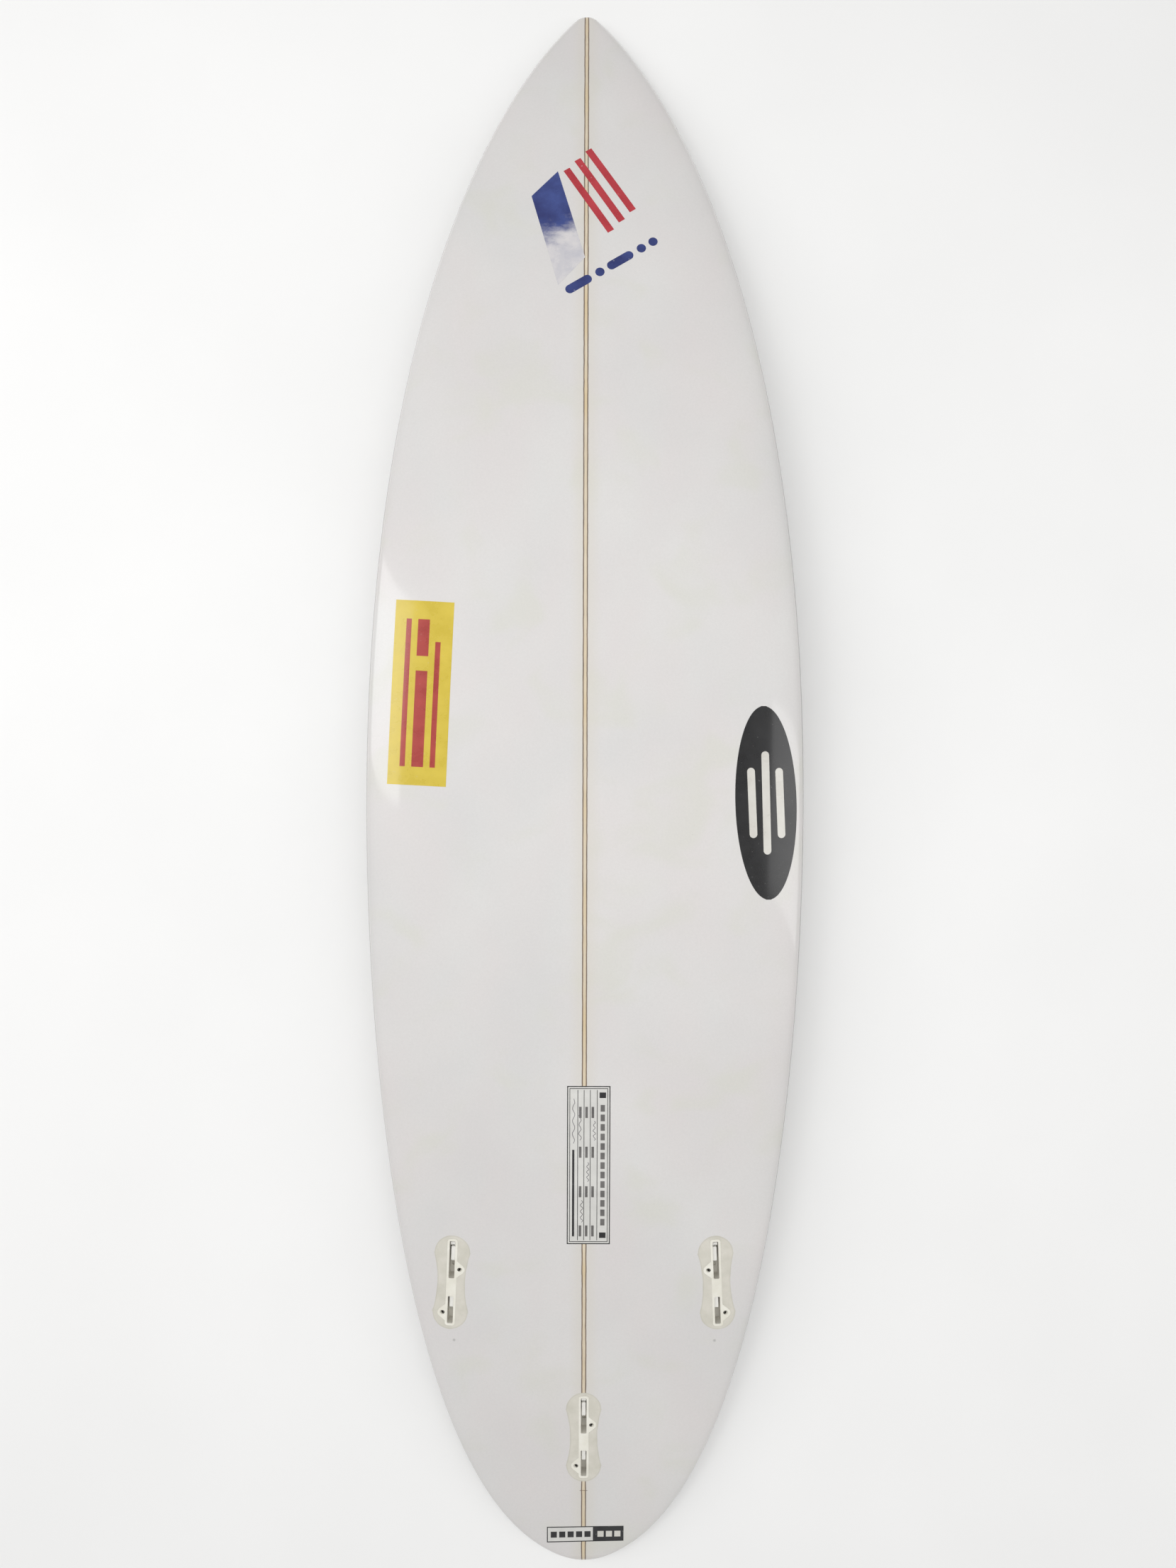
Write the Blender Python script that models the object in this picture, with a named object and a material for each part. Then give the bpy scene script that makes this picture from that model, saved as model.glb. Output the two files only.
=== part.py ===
"""A round-tail thruster shortboard, six feet long, lying deck down on its two tips.

X is the width, Y runs from the tail to the nose and Z is up. The bottom of the
board faces up, so the fin plugs are on top and the leash cup is underneath.
Left is the -X side, as seen from above.
"""

import math

import bmesh
import bpy
from mathutils import Matrix, Vector

# Overall size, in metres
LENGTH = 1.829
WIDTH = 0.483
THICKNESS = 0.0635

# Outline: the tangent handles of the nose curve and of the tail curve
WIDE_POINT_BACK = 0.046
NOSE_HANDLE = 0.723
NOSE_POINT_HANDLE = 0.0145
NOSE_POINT_TRIM = 0.004
TAIL_HANDLE = 0.292
TAIL_ROUND_HANDLE = 0.196
TAIL_ROUND_RISE = 0.0259

# Rocker and foil: how far the bottom falls away at each tip, and how thick the tips are
NOSE_ROCKER = 0.135
TAIL_ROCKER = 0.062
NOSE_ROCKER_POWER = 2.1
TAIL_ROCKER_POWER = 2.2
NOSE_THICKNESS = 0.012
TAIL_THICKNESS = 0.016
NOSE_FOIL_POWER = 1.9
TAIL_FOIL_POWER = 2.0
NOSE_TIP_RADIUS = LENGTH * 0.00328
TAIL_TIP_RADIUS = LENGTH * 0.00437

# Section: where the widest line of the rail lies below the bottom, as a share of the
# thickness, and how square the bottom's corner and the deck's shoulder are
APEX_MIDDLE = 0.38
APEX_NOSE = 0.50
APEX_TAIL = 0.24
CORNER_MIDDLE = 4.2
CORNER_NOSE = 2.8
CORNER_TAIL = 6.5
SHOULDER = 2.4
CONCAVE = 0.0022

# Layers, and the clearance that every pair of touching pieces keeps
GAP = 0.0003
BOTTOM_GLASS = 0.0008
DECK_GLASS = 0.0012
STRINGER_WIDTH = 0.0032
GLUE_WIDTH = 0.0006

# Fin plugs and the foam cores that they sit in
PLUG_LENGTH = 0.101
PLUG_WIDTH = 0.011
PLUG_CORNER = 0.003
PLUG_DEPTH = 0.0165
PLUG_SINK = 0.0002
SLOT_WIDTH = 0.0064
SLOT_DEPTH = 0.0135
SLOT_CORNER = 0.0012
SLOT_END_LAND = 0.0023
FRONT_SLOT_LENGTH = 0.0434
REAR_SLOT_LENGTH = 0.0318
LUG_RADIUS = 0.0053
LUG_REACH = 0.0105
LUG_ROOT = 0.0045
LUG_DEPTH = 0.0125
LUG_OFFSET = 0.0088
FRONT_LUG_FROM_FRONT = 0.0352
REAR_LUG_FROM_REAR = 0.0151
CORE_MARGIN = 0.0038
CORE_END_WIDTH = 0.039
CORE_WAIST_WIDTH = 0.0305
CORE_FLOOR = 0.002
REAR_PLUG_FROM_TAIL = 0.1062
SIDE_PLUG_FROM_TAIL = 0.2910
SIDE_PLUG_FROM_CENTRE = 0.1480
SIDE_TOE_DEGREES = 2.7

# Grub screws, slanted through the lugs into the slots
SCREW_RADIUS = 0.0021
SCREW_LENGTH = 0.0065
SCREW_RECESS = 0.0005
SCREW_TILT_DEGREES = 30.0
SCREW_SOCKET_RADIUS = 0.0013
SCREW_SOCKET_DEPTH = 0.003

# Sprung roller that clicks into the front tab of a fin
ROLLER_RADIUS = 0.0023
ROLLER_WIDTH = 0.0056
ROLLER_FROM_SLOT_END = 0.005
ROLLER_BELOW_FACE = 0.0065
ROLLER_TRAVEL = 0.0012
BAR_RADIUS = 0.0009
BAR_LENGTH = 0.0088

# Leash cup in the deck
CUP_RADIUS = 0.014
CUP_WALL = 0.003
CUP_DEPTH = 0.018
CUP_FLOOR = 0.0025
CUP_FROM_TAIL = 0.062
CUP_PIN_RADIUS = 0.002
CUP_PIN_BELOW_RIM = 0.0077
CUP_PIN_SOCKET = 0.0015

# Stickers and prints on the bottom, each a thin film of its own. Corners are (x, y) places,
# given back left, back right, front left, front right unless they say otherwise. The y of the
# nose prints starts at the nose, that of the two labels at the tail, the others at the middle.
FILM = 0.0003
NOSE_PANEL = ((-0.0317, -0.3690), (-0.0013, -0.3348), (-0.0629, -0.2570), (-0.0330, -0.2244))
NOSE_BAND = ((-0.0180, -0.3815), (0.0842, -0.3174), (-0.0246, -0.3705), (0.0776, -0.3064))
STRIPE_FRONT = (0.0020, -0.1955)
STRIPE_BACK = (0.0531, -0.2755)
STRIPE_STEP = (-0.0125, -0.0131)
STRIPE_WIDTH = 0.0082
STRIPES = 3
SIDE_STICKER = ((-0.2162, -0.0183), (-0.1515, -0.0216), (-0.2069, 0.1834), (-0.1428, 0.1795))
RAIL_DECAL_TAIL = (0.2009, -0.1438)
RAIL_DECAL_NOSE = (0.1947, 0.0673)
RAIL_DECAL_WIDTH = 0.068
RAIL_DECAL_END = 0.006
SPEC_LABEL = ((-0.0192, 0.3861), (0.0286, 0.3861), (-0.0188, 0.5650), (0.0287, 0.5650))
TAIL_LABEL = ((-0.0421, 0.0250), (0.0460, 0.0275), (-0.0420, 0.0450), (0.0460, 0.0466))

# Mesh resolution
STATIONS = 34
QUARTER_STEPS = 7
ROUND_STEPS = 16
CORNER_STEPS = 3

NOSE_Y = LENGTH / 2
TAIL_Y = -LENGTH / 2
WIDE_Y = -WIDE_POINT_BACK
QUARTER_TURN = math.pi / 2
TINY = 1e-4


# ---------------------------------------------------------------- board surface


def bezier(ends_and_handles, t):
    """A cubic Bezier of four numbers at parameter t."""
    a, b, c, d = ends_and_handles
    s = 1.0 - t
    return s * s * s * a + 3 * s * s * t * b + 3 * s * t * t * c + t * t * t * d


def curve_at_height(ys, xs, y):
    """The x of a Bezier at the place where its y, which runs one way only, has the given value."""
    low, high = 0.0, 1.0
    rising = ys[3] > ys[0]
    for _ in range(40):
        middle = (low + high) / 2
        if (bezier(ys, middle) < y) == rising:
            low = middle
        else:
            high = middle
    return bezier(xs, (low + high) / 2)


def tip_rounding(y, radius_nose, radius_tail):
    """Falls from 1 to 0 along a quarter circle over the last few millimetres before a tip."""
    radius = radius_nose if y > 0 else radius_tail
    from_tip = NOSE_Y - abs(y)
    if from_tip >= radius:
        return 1.0
    return math.sqrt(max(0.0, 1.0 - (1.0 - from_tip / radius) ** 2))


def half_width(y):
    """Half of the outline's width at a place along the length."""
    half = WIDTH / 2
    if y >= WIDE_Y:
        tip = NOSE_Y + NOSE_POINT_TRIM
        ys = (tip, tip, WIDE_Y + NOSE_HANDLE, WIDE_Y)
        xs = (0.0, NOSE_POINT_HANDLE, half, half)
        return curve_at_height(ys, xs, y) * tip_rounding(y, NOSE_TIP_RADIUS, NOSE_TIP_RADIUS)
    ys = (TAIL_Y, TAIL_Y + TAIL_ROUND_RISE, WIDE_Y - TAIL_HANDLE, WIDE_Y)
    xs = (0.0, TAIL_ROUND_HANDLE, half, half)
    return curve_at_height(ys, xs, y)


def from_middle(y, middle, nose, tail):
    """A value that changes with the square of the distance from the middle to either tip."""
    end = nose if y > 0 else tail
    return middle + (end - middle) * (y / NOSE_Y) ** 2


def foil(y):
    """Thickness on the centreline, before the tips are rounded over."""
    share = abs(y) / NOSE_Y
    if y > 0:
        return THICKNESS - (THICKNESS - NOSE_THICKNESS) * share**NOSE_FOIL_POWER
    return THICKNESS - (THICKNESS - TAIL_THICKNESS) * share**TAIL_FOIL_POWER


def rocker(y):
    """How far the bottom falls below its middle, with the middle level."""
    share = abs(y) / NOSE_Y
    if y > 0:
        return NOSE_ROCKER * share**NOSE_ROCKER_POWER
    return TAIL_ROCKER * share**TAIL_ROCKER_POWER


def apex_share(y):
    return from_middle(y, APEX_MIDDLE, APEX_NOSE, APEX_TAIL)


def lowest_deck(y_tip, tip_radius):
    """Height and place of the lowest point of the deck near one tip, with the middle level."""
    inward = -1 if y_tip > 0 else 1
    lowest = (math.inf, y_tip)
    for step in range(61):
        y = y_tip + inward * tip_radius * step / 20
        rounding = tip_rounding(y, NOSE_TIP_RADIUS, TAIL_TIP_RADIUS)
        deck = -rocker(y) - foil(y) * (apex_share(y) + (1 - apex_share(y)) * rounding)
        lowest = min(lowest, (deck, y))
    return lowest


NOSE_LOW, NOSE_LOW_Y = lowest_deck(NOSE_Y, NOSE_TIP_RADIUS)
TAIL_LOW, TAIL_LOW_Y = lowest_deck(TAIL_Y, TAIL_TIP_RADIUS)
LEVEL_SLOPE = (TAIL_LOW - NOSE_LOW) / (NOSE_LOW_Y - TAIL_LOW_Y)
MIDDLE_HEIGHT = -(NOSE_LOW + LEVEL_SLOPE * NOSE_LOW_Y)


def apex_height(y):
    """Height of the rail's widest line, with both tips of the deck resting at height 0."""
    return MIDDLE_HEIGHT + LEVEL_SLOPE * y - rocker(y) - apex_share(y) * foil(y)


def concave_lift(y, across):
    """How much a place across the section is raised over the centreline by the concave."""
    return CONCAVE * (1 - (y / NOSE_Y) ** 2) * (1 - (1 - across * across) ** 2)


def section_point(y, turn):
    """A point of the section: turn 0 is the bottom's centreline, 1 the right rail, 2 the deck's centreline."""
    sine = math.sin(turn * QUARTER_TURN)
    cosine = math.cos(turn * QUARTER_TURN)
    rounding = tip_rounding(y, NOSE_TIP_RADIUS, TAIL_TIP_RADIUS)
    share = apex_share(y)
    if cosine > 0:
        power = from_middle(y, CORNER_MIDDLE, CORNER_NOSE, CORNER_TAIL)
        height = share * foil(y) * rounding
    else:
        power = SHOULDER
        height = (1 - share) * foil(y) * rounding
    reach = (abs(sine) ** power + abs(cosine) ** power) ** (-1 / power)
    across = reach * sine
    up = apex_height(y) + height * reach * cosine + concave_lift(y, across)
    return Vector((half_width(y) * across, y, up))


def bottom_point(x, y):
    """The point of the bottom above a place (x, y)."""
    power = from_middle(y, CORNER_MIDDLE, CORNER_NOSE, CORNER_TAIL)
    across = min(1.0, abs(x) / half_width(y))
    height = apex_share(y) * foil(y) * (1 - across**power) ** (1 / power)
    return Vector((x, y, apex_height(y) + height + concave_lift(y, across)))


def bottom_normal(x, y):
    along_x = bottom_point(x + TINY, y) - bottom_point(x - TINY, y)
    along_y = bottom_point(x, y + TINY) - bottom_point(x, y - TINY)
    return along_x.cross(along_y).normalized()


def station_y(s):
    """Stations bunch up towards the tips: s runs from -1 at the tail to 1 at the nose."""
    return NOSE_Y * math.sin(s * QUARTER_TURN)


def surface_point(s, turn, inset):
    """A point of the board's surface, moved inwards by the inset along the normal."""
    point = section_point(station_y(s), turn)
    if abs(s) > 1 - TINY:
        normal = Vector((0, math.copysign(1, s), 0))
    else:
        along = section_point(station_y(s + TINY), turn) - section_point(station_y(s - TINY), turn)
        around = section_point(station_y(s), turn + TINY) - section_point(station_y(s), turn - TINY)
        normal = around.cross(along).normalized()
    return point - inset * normal


def glass_thickness(turn):
    """The glass grows evenly from the bottom's centreline, round the rail, to the deck's."""
    return BOTTOM_GLASS + (DECK_GLASS - BOTTOM_GLASS) * abs(turn) / 2


# ---------------------------------------------------------------- mesh helpers


def material(name, colour, roughness, metallic=0.0):
    made = bpy.data.materials.new(name)
    made.use_nodes = True
    shader = made.node_tree.nodes["Principled BSDF"]
    shader.inputs["Base Color"].default_value = (*colour, 1.0)
    shader.inputs["Roughness"].default_value = roughness
    shader.inputs["Metallic"].default_value = metallic
    made.diffuse_color = (*colour, 1.0)
    return made


def add_object(name, mesh_edit, look, parent=None, smooth_degrees=35):
    """Turns a bmesh into an object; its coordinates are the parent's, if it has one."""
    bmesh.ops.recalc_face_normals(mesh_edit, faces=mesh_edit.faces)
    if mesh_edit.calc_volume(signed=True) < 0:
        bmesh.ops.reverse_faces(mesh_edit, faces=mesh_edit.faces)
    mesh = bpy.data.meshes.new(name)
    mesh_edit.to_mesh(mesh)
    mesh_edit.free()
    mesh.shade_smooth()
    mesh.set_sharp_from_angle(angle=math.radians(smooth_degrees))
    if look is not None:
        mesh.materials.append(look)
    made = bpy.data.objects.new(name, mesh)
    bpy.context.scene.collection.objects.link(made)
    made.parent = parent
    return made


def add_cutter(name, mesh_edit, parent=None):
    made = add_object(name, mesh_edit, None, parent)
    made.hide_render = True
    made.display_type = "WIRE"
    return made


def boolean(target, tool, operation):
    step = target.modifiers.new(tool.name, "BOOLEAN")
    step.operation = operation
    step.solver = "EXACT"
    step.object = tool


def add_place(name, matrix):
    """An empty that holds the position and direction of one fitting."""
    made = bpy.data.objects.new(name, None)
    made.empty_display_size = 0.01
    made.matrix_world = matrix
    bpy.context.scene.collection.objects.link(made)
    return made


def prism(outline, low, high):
    """A closed solid that stands on a plane outline of (x, y) points."""
    made = bmesh.new()
    base = made.faces.new([made.verts.new((x, y, low)) for x, y in outline])
    top = bmesh.ops.extrude_face_region(made, geom=[base])["geom"]
    raised = [item for item in top if isinstance(item, bmesh.types.BMVert)]
    bmesh.ops.translate(made, verts=raised, vec=(0, 0, high - low))
    return made


def arc(centre, radius, start, end, steps):
    """Points of an arc from one angle to another, both in radians."""
    angles = [start + (end - start) * step / steps for step in range(steps + 1)]
    return [(centre[0] + radius * math.cos(a), centre[1] + radius * math.sin(a)) for a in angles]


def rounded_rectangle(length, width, corner, centre_y):
    """A rectangle along Y with rounded corners."""
    reach_x = width / 2 - corner
    reach_y = length / 2 - corner
    points = []
    for number, (side, end) in enumerate(((1, 1), (-1, 1), (-1, -1), (1, -1))):
        centre = (side * reach_x, centre_y + end * reach_y)
        start = number * QUARTER_TURN
        points += arc(centre, corner, start, start + QUARTER_TURN, CORNER_STEPS)
    return points


def disc_outline(centre, radius, steps=ROUND_STEPS):
    return arc(centre, radius, 0, 2 * math.pi, steps)[:-1]


def cylinder(radius, low, high, steps=ROUND_STEPS):
    return prism(disc_outline((0, 0), radius, steps), low, high)


def box(size, centre):
    made = bmesh.new()
    bmesh.ops.create_cube(made, size=1.0, matrix=Matrix.Translation(centre) @ Matrix.Diagonal((*size, 1)))
    return made


def triangle_pair(mesh_edit, a, b, c, d):
    """Two triangles that share the diagonal a to c; a corner may be the same as its neighbour."""
    for corners in ((a, b, c), (a, c, d)):
        if len(set(corners)) == 3:
            mesh_edit.faces.new(corners)


def grid_verts(mesh_edit, rows):
    return [[mesh_edit.verts.new(point) for point in row] for row in rows]


def join_rows(mesh_edit, rows, closed):
    """Fills the grid between rows of verts; a row of one vert is a tip."""
    for near, far in zip(rows, rows[1:]):
        count = max(len(near), len(far))
        for k in range(count if closed else count - 1):
            a, b = near[k % len(near)], near[(k + 1) % len(near)]
            c, d = far[(k + 1) % len(far)], far[k % len(far)]
            triangle_pair(mesh_edit, a, b, c, d)


# ---------------------------------------------------------------- blank, stringer and glass


def surface_rows(turns, insets, seam_shift=0.0):
    """Rows of points from tail to nose; the first and last are the tips, as one point each."""
    rows = []
    for station in range(STATIONS + 1):
        s = -1 + 2 * station / STATIONS
        if station in (0, STATIONS):
            rows.append([surface_point(s, turns[0], insets[0]) + Vector((0, 0, seam_shift))])
            continue
        row = [surface_point(s, turn, inset) for turn, inset in zip(turns, insets)]
        row[0].z += seam_shift
        row[-1].z += seam_shift
        rows.append(row)
    return rows


def glass_skin(name, first_turn, last_turn, seam_shift, look):
    """A skin of glass from one rail's widest line to the other's, open towards the foam."""
    steps = 2 * QUARTER_STEPS
    turns = [first_turn + (last_turn - first_turn) * k / steps for k in range(steps + 1)]
    made = bmesh.new()
    outer = grid_verts(made, surface_rows(turns, [0.0] * len(turns), seam_shift))
    folded = [abs(turn) if abs(turn) <= 2 else 4 - abs(turn) for turn in turns]
    insets = [glass_thickness(turn) for turn in folded]
    inner = grid_verts(made, surface_rows(turns, insets, seam_shift))
    join_rows(made, outer, closed=False)
    join_rows(made, inner, closed=False)
    for edge in (0, -1):
        for station in range(STATIONS):
            triangle_pair(
                made,
                outer[station][edge],
                outer[station + 1][edge],
                inner[station + 1][edge],
                inner[station][edge],
            )
    return add_object(name, made, look)


def foam_body(extra_inset=0.0):
    """The whole shaped blank, inside the glass, as one closed body."""
    steps = 4 * QUARTER_STEPS
    turns = [-2 + 4 * k / steps for k in range(steps)]
    insets = [glass_thickness(turn) + GAP + extra_inset for turn in turns]
    made = bmesh.new()
    join_rows(made, grid_verts(made, surface_rows(turns, insets)), closed=True)
    bmesh.ops.recalc_face_normals(made, faces=made.faces)
    return made


def slice_off(mesh_edit, x, keep_side):
    """Keeps the part of a body on one side of the plane at x, and closes the cut."""
    everything = mesh_edit.verts[:] + mesh_edit.edges[:] + mesh_edit.faces[:]
    result = bmesh.ops.bisect_plane(
        mesh_edit,
        geom=everything,
        dist=1e-7,
        plane_co=(x, 0, 0),
        plane_no=(-keep_side, 0, 0),
        clear_outer=True,
    )
    rim = [item for item in result["geom_cut"] if isinstance(item, bmesh.types.BMEdge)]
    bmesh.ops.contextual_create(mesh_edit, geom=rim)


def foam_slab(name, low_x, high_x, look):
    """One layer of the glued-up blank, between two upright planes; None leaves a side whole."""
    made = foam_body()
    if low_x is not None:
        slice_off(made, low_x, 1)
    if high_x is not None:
        slice_off(made, high_x, -1)
    return add_object(name, made, look)


def add_blank(looks):
    """The two foam halves with the stringer glued between them."""
    wood = STRINGER_WIDTH / 2
    glue = wood + GAP
    foam = glue + GLUE_WIDTH + GAP
    return [
        foam_slab("blank_left", None, -foam, looks["foam"]),
        foam_slab("blank_right", foam, None, looks["foam"]),
        foam_slab("stringer", -wood, wood, looks["wood"]),
        foam_slab("glue_line_left", -glue - GLUE_WIDTH, -glue, looks["glue"]),
        foam_slab("glue_line_right", glue, glue + GLUE_WIDTH, looks["glue"]),
    ]


# ---------------------------------------------------------------- fin plugs


def core_outline(grow):
    """An hourglass: two end arcs joined by two long hollow arcs that are tangent to them."""
    radius = CORE_END_WIDTH / 2
    reach = PLUG_LENGTH / 2 + CORE_MARGIN - radius
    waist = CORE_WAIST_WIDTH / 2
    hollow = (waist**2 + reach**2 - radius**2) / (2 * (radius - waist))
    tilt = math.atan2(reach, waist + hollow)
    ends = ROUND_STEPS // 2 + 2
    front = arc((0, reach), radius + grow, -tilt, math.pi + tilt, ends)
    left = arc((-waist - hollow, 0), hollow - grow, tilt, -tilt, 6)
    back = arc((0, -reach), radius + grow, math.pi - tilt, 2 * math.pi + tilt, ends)
    right = arc((waist + hollow, 0), hollow - grow, math.pi + tilt, math.pi - tilt, 6)
    return front + left[1:-1] + back + right[1:-1]


def lug_places(side):
    """Centres of the front and rear lugs; the front lug is on the given side."""
    front = (side * LUG_OFFSET, PLUG_LENGTH / 2 - FRONT_LUG_FROM_FRONT)
    rear = (-side * LUG_OFFSET, REAR_LUG_FROM_REAR - PLUG_LENGTH / 2)
    return front, rear


def slot_places():
    """Length and centre of the front slot and of the rear slot."""
    front = PLUG_LENGTH / 2 - SLOT_END_LAND - FRONT_SLOT_LENGTH / 2
    rear = SLOT_END_LAND + REAR_SLOT_LENGTH / 2 - PLUG_LENGTH / 2
    return (FRONT_SLOT_LENGTH, front), (REAR_SLOT_LENGTH, rear)


def lug_outline(where, grow):
    """An ear on the side of the plug: a disc round the screw, with flanks that run to the body."""
    side = math.copysign(1, where[0])
    radius = LUG_RADIUS + grow
    root_x = side * LUG_ROOT
    root_y = LUG_REACH + grow
    reach = LUG_OFFSET - LUG_ROOT
    swing = math.atan2(root_y, -reach) - math.acos(radius / math.hypot(reach, root_y))
    ear = arc((0, 0), radius, -swing, swing, ROUND_STEPS // 2)
    outline = [(where[0] + side * x, where[1] + y) for x, y in ear]
    outline += [(root_x, where[1] + root_y), (root_x, where[1] - root_y)]
    return outline if side > 0 else outline[::-1]


def plug_solids(name, place, side, grow, top, looks_as):
    """The plug's body joined to its two lugs, which may be grown into the tool for its pocket."""
    outline = rounded_rectangle(PLUG_LENGTH + 2 * grow, PLUG_WIDTH + 2 * grow, PLUG_CORNER + grow, 0)
    body = looks_as(name, prism(outline, -PLUG_DEPTH - grow, top), place)
    for lug, where in zip(("front", "rear"), lug_places(side)):
        ear = prism(lug_outline(where, grow), -LUG_DEPTH - grow, top)
        boolean(body, add_cutter(f"{name}_{lug}_lug", ear, place), "UNION")
    return body


def screw_matrix(where, side):
    """Axis of a grub screw: local -Z runs down from the face, slanting towards the slot."""
    slant = Matrix.Rotation(math.copysign(math.radians(SCREW_TILT_DEGREES), side), 4, "Y")
    return Matrix.Translation((where[0], where[1], 0)) @ slant


def roller_place():
    """Rest position of the roller's axis in its plug."""
    front = PLUG_LENGTH / 2 - SLOT_END_LAND - ROLLER_FROM_SLOT_END
    return Vector((0, front, -ROLLER_BELOW_FACE))


def add_plug(name, place, side, looks):
    """A moulded plug with two slots, two slanted screw holes and a pocket for the roller's bar."""
    above = 0.004
    plug = plug_solids(name, place, side, 0.0, 0.0, lambda n, m, p: add_object(n, m, looks["plug"], p))
    for which, (length, centre) in zip(("front", "rear"), slot_places()):
        outline = rounded_rectangle(length, SLOT_WIDTH, SLOT_CORNER, centre)
        hollow = prism(outline, -SLOT_DEPTH, above)
        boolean(plug, add_cutter(f"{name}_{which}_slot", hollow, place), "DIFFERENCE")
    reach = LUG_OFFSET / math.sin(math.radians(SCREW_TILT_DEGREES))
    for which, where in zip(("front", "rear"), lug_places(side)):
        hole = add_cutter(f"{name}_{which}_hole", cylinder(SCREW_RADIUS + GAP, -reach, above), place)
        hole.matrix_local = screw_matrix(where, where[0])
        boolean(plug, hole, "DIFFERENCE")
    pocket_size = (
        BAR_LENGTH + 2 * GAP,
        2 * (BAR_RADIUS + GAP) + ROLLER_TRAVEL,
        2 * (BAR_RADIUS + GAP),
    )
    pocket = box(pocket_size, roller_place() + Vector((0, ROLLER_TRAVEL / 2, 0)))
    boolean(plug, add_cutter(f"{name}_bar_pocket", pocket, place), "DIFFERENCE")
    return plug


def add_grub_screw(name, place, where, looks):
    """A headless screw with a hexagon socket, its origin on its axis at the plug's face."""
    screw = add_object(name, cylinder(SCREW_RADIUS, -SCREW_RECESS - SCREW_LENGTH, -SCREW_RECESS), looks["steel"])
    screw.parent = place
    screw.matrix_local = screw_matrix(where, where[0])
    hexagon = disc_outline((0, 0), SCREW_SOCKET_RADIUS, 6)
    socket = add_cutter(f"{name}_socket", prism(hexagon, -SCREW_RECESS - SCREW_SOCKET_DEPTH, 0.001), place)
    socket.matrix_local = screw.matrix_local
    boolean(screw, socket, "DIFFERENCE")


def add_roller(name, place, looks):
    """A nylon roller on a titanium bar, both across the front slot."""
    across = Matrix.Translation(roller_place()) @ Matrix.Rotation(QUARTER_TURN, 4, "Y")
    bar = add_object(f"{name}_bar", cylinder(BAR_RADIUS, -BAR_LENGTH / 2, BAR_LENGTH / 2, 10), looks["steel"])
    bar.parent = place
    bar.matrix_local = across
    roller = add_object(name, cylinder(ROLLER_RADIUS, -ROLLER_WIDTH / 2, ROLLER_WIDTH / 2), looks["nylon"])
    roller.parent = place
    roller.matrix_local = across
    bore = add_cutter(f"{name}_bore", cylinder(BAR_RADIUS + GAP, -ROLLER_WIDTH, ROLLER_WIDTH, 10), place)
    bore.matrix_local = across
    boolean(roller, bore, "DIFFERENCE")


def add_fin_box(which, x, y, toe_degrees, side, layers, glass, looks):
    """One fin box, flush with the bottom at (x, y); the layers and the glass are cut for it."""
    normal = bottom_normal(x, y)
    toe = math.radians(toe_degrees)
    forward = Vector((-math.copysign(math.sin(toe), x), math.cos(toe), 0))
    forward = (forward - forward.dot(normal) * normal).normalized()
    right = forward.cross(normal)
    matrix = Matrix((right, forward, normal)).transposed().to_4x4()
    matrix.translation = bottom_point(x, y) - PLUG_SINK * normal
    place = add_place(f"fin_box_place_{which}", matrix)
    above = 0.006
    core_low = -PLUG_DEPTH - GAP - CORE_FLOOR

    core = add_object(f"fin_core_{which}", foam_body(), looks["core"])
    column = add_cutter(f"fin_core_column_{which}", prism(core_outline(0.0), core_low, above), place)
    boolean(core, column, "INTERSECT")
    pocket = add_cutter(f"fin_core_pocket_{which}", prism(core_outline(GAP), core_low - GAP, above), place)
    for layer in layers:
        boolean(layer, pocket, "DIFFERENCE")

    well = plug_solids(f"fin_plug_well_{which}", place, side, GAP, above, add_cutter)
    boolean(core, well, "DIFFERENCE")
    boolean(glass, well, "DIFFERENCE")

    add_plug(f"fin_plug_{which}", place, side, looks)
    for end, where in zip(("front", "rear"), lug_places(side)):
        add_grub_screw(f"grub_screw_{which}_{end}", place, where, looks)
    add_roller(f"fin_roller_{which}", place, looks)


# ---------------------------------------------------------------- leash cup


def add_leash_cup(layers, glass, looks):
    """A round cup sunk in the deck near the tail, with a steel pin across it for the leash string."""
    y = TAIL_Y + CUP_FROM_TAIL
    ahead = section_point(y + TINY, 2) - section_point(y - TINY, 2)
    forward = ahead.normalized()
    right = Vector((-1, 0, 0))
    normal = right.cross(forward)
    matrix = Matrix((right, forward, normal)).transposed().to_4x4()
    matrix.translation = section_point(y, 2)
    place = add_place("leash_cup_place", matrix)
    above = 0.006

    cup = add_object("leash_cup", cylinder(CUP_RADIUS, -CUP_DEPTH, 0, 2 * ROUND_STEPS), looks["plug"], place)
    inner = CUP_RADIUS - CUP_WALL
    hollow = cylinder(inner, CUP_FLOOR - CUP_DEPTH, above, 2 * ROUND_STEPS)
    boolean(cup, add_cutter("leash_cup_hollow", hollow, place), "DIFFERENCE")

    across = Matrix.Translation((0, 0, -CUP_PIN_BELOW_RIM)) @ Matrix.Rotation(QUARTER_TURN, 4, "Y")
    half = inner + CUP_PIN_SOCKET
    pin = add_object("leash_pin", cylinder(CUP_PIN_RADIUS, -half, half), looks["steel"])
    pin.parent = place
    pin.matrix_local = across
    seats = add_cutter("leash_pin_seats", cylinder(CUP_PIN_RADIUS + GAP, -half - GAP, half + GAP), place)
    seats.matrix_local = across
    boolean(cup, seats, "DIFFERENCE")

    pocket = cylinder(CUP_RADIUS + GAP, -CUP_DEPTH - GAP, above, 2 * ROUND_STEPS)
    pocket_tool = add_cutter("leash_cup_pocket", pocket, place)
    for layer in layers:
        boolean(layer, pocket_tool, "DIFFERENCE")
    boolean(glass, pocket_tool, "DIFFERENCE")


# ---------------------------------------------------------------- stickers and prints


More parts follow.
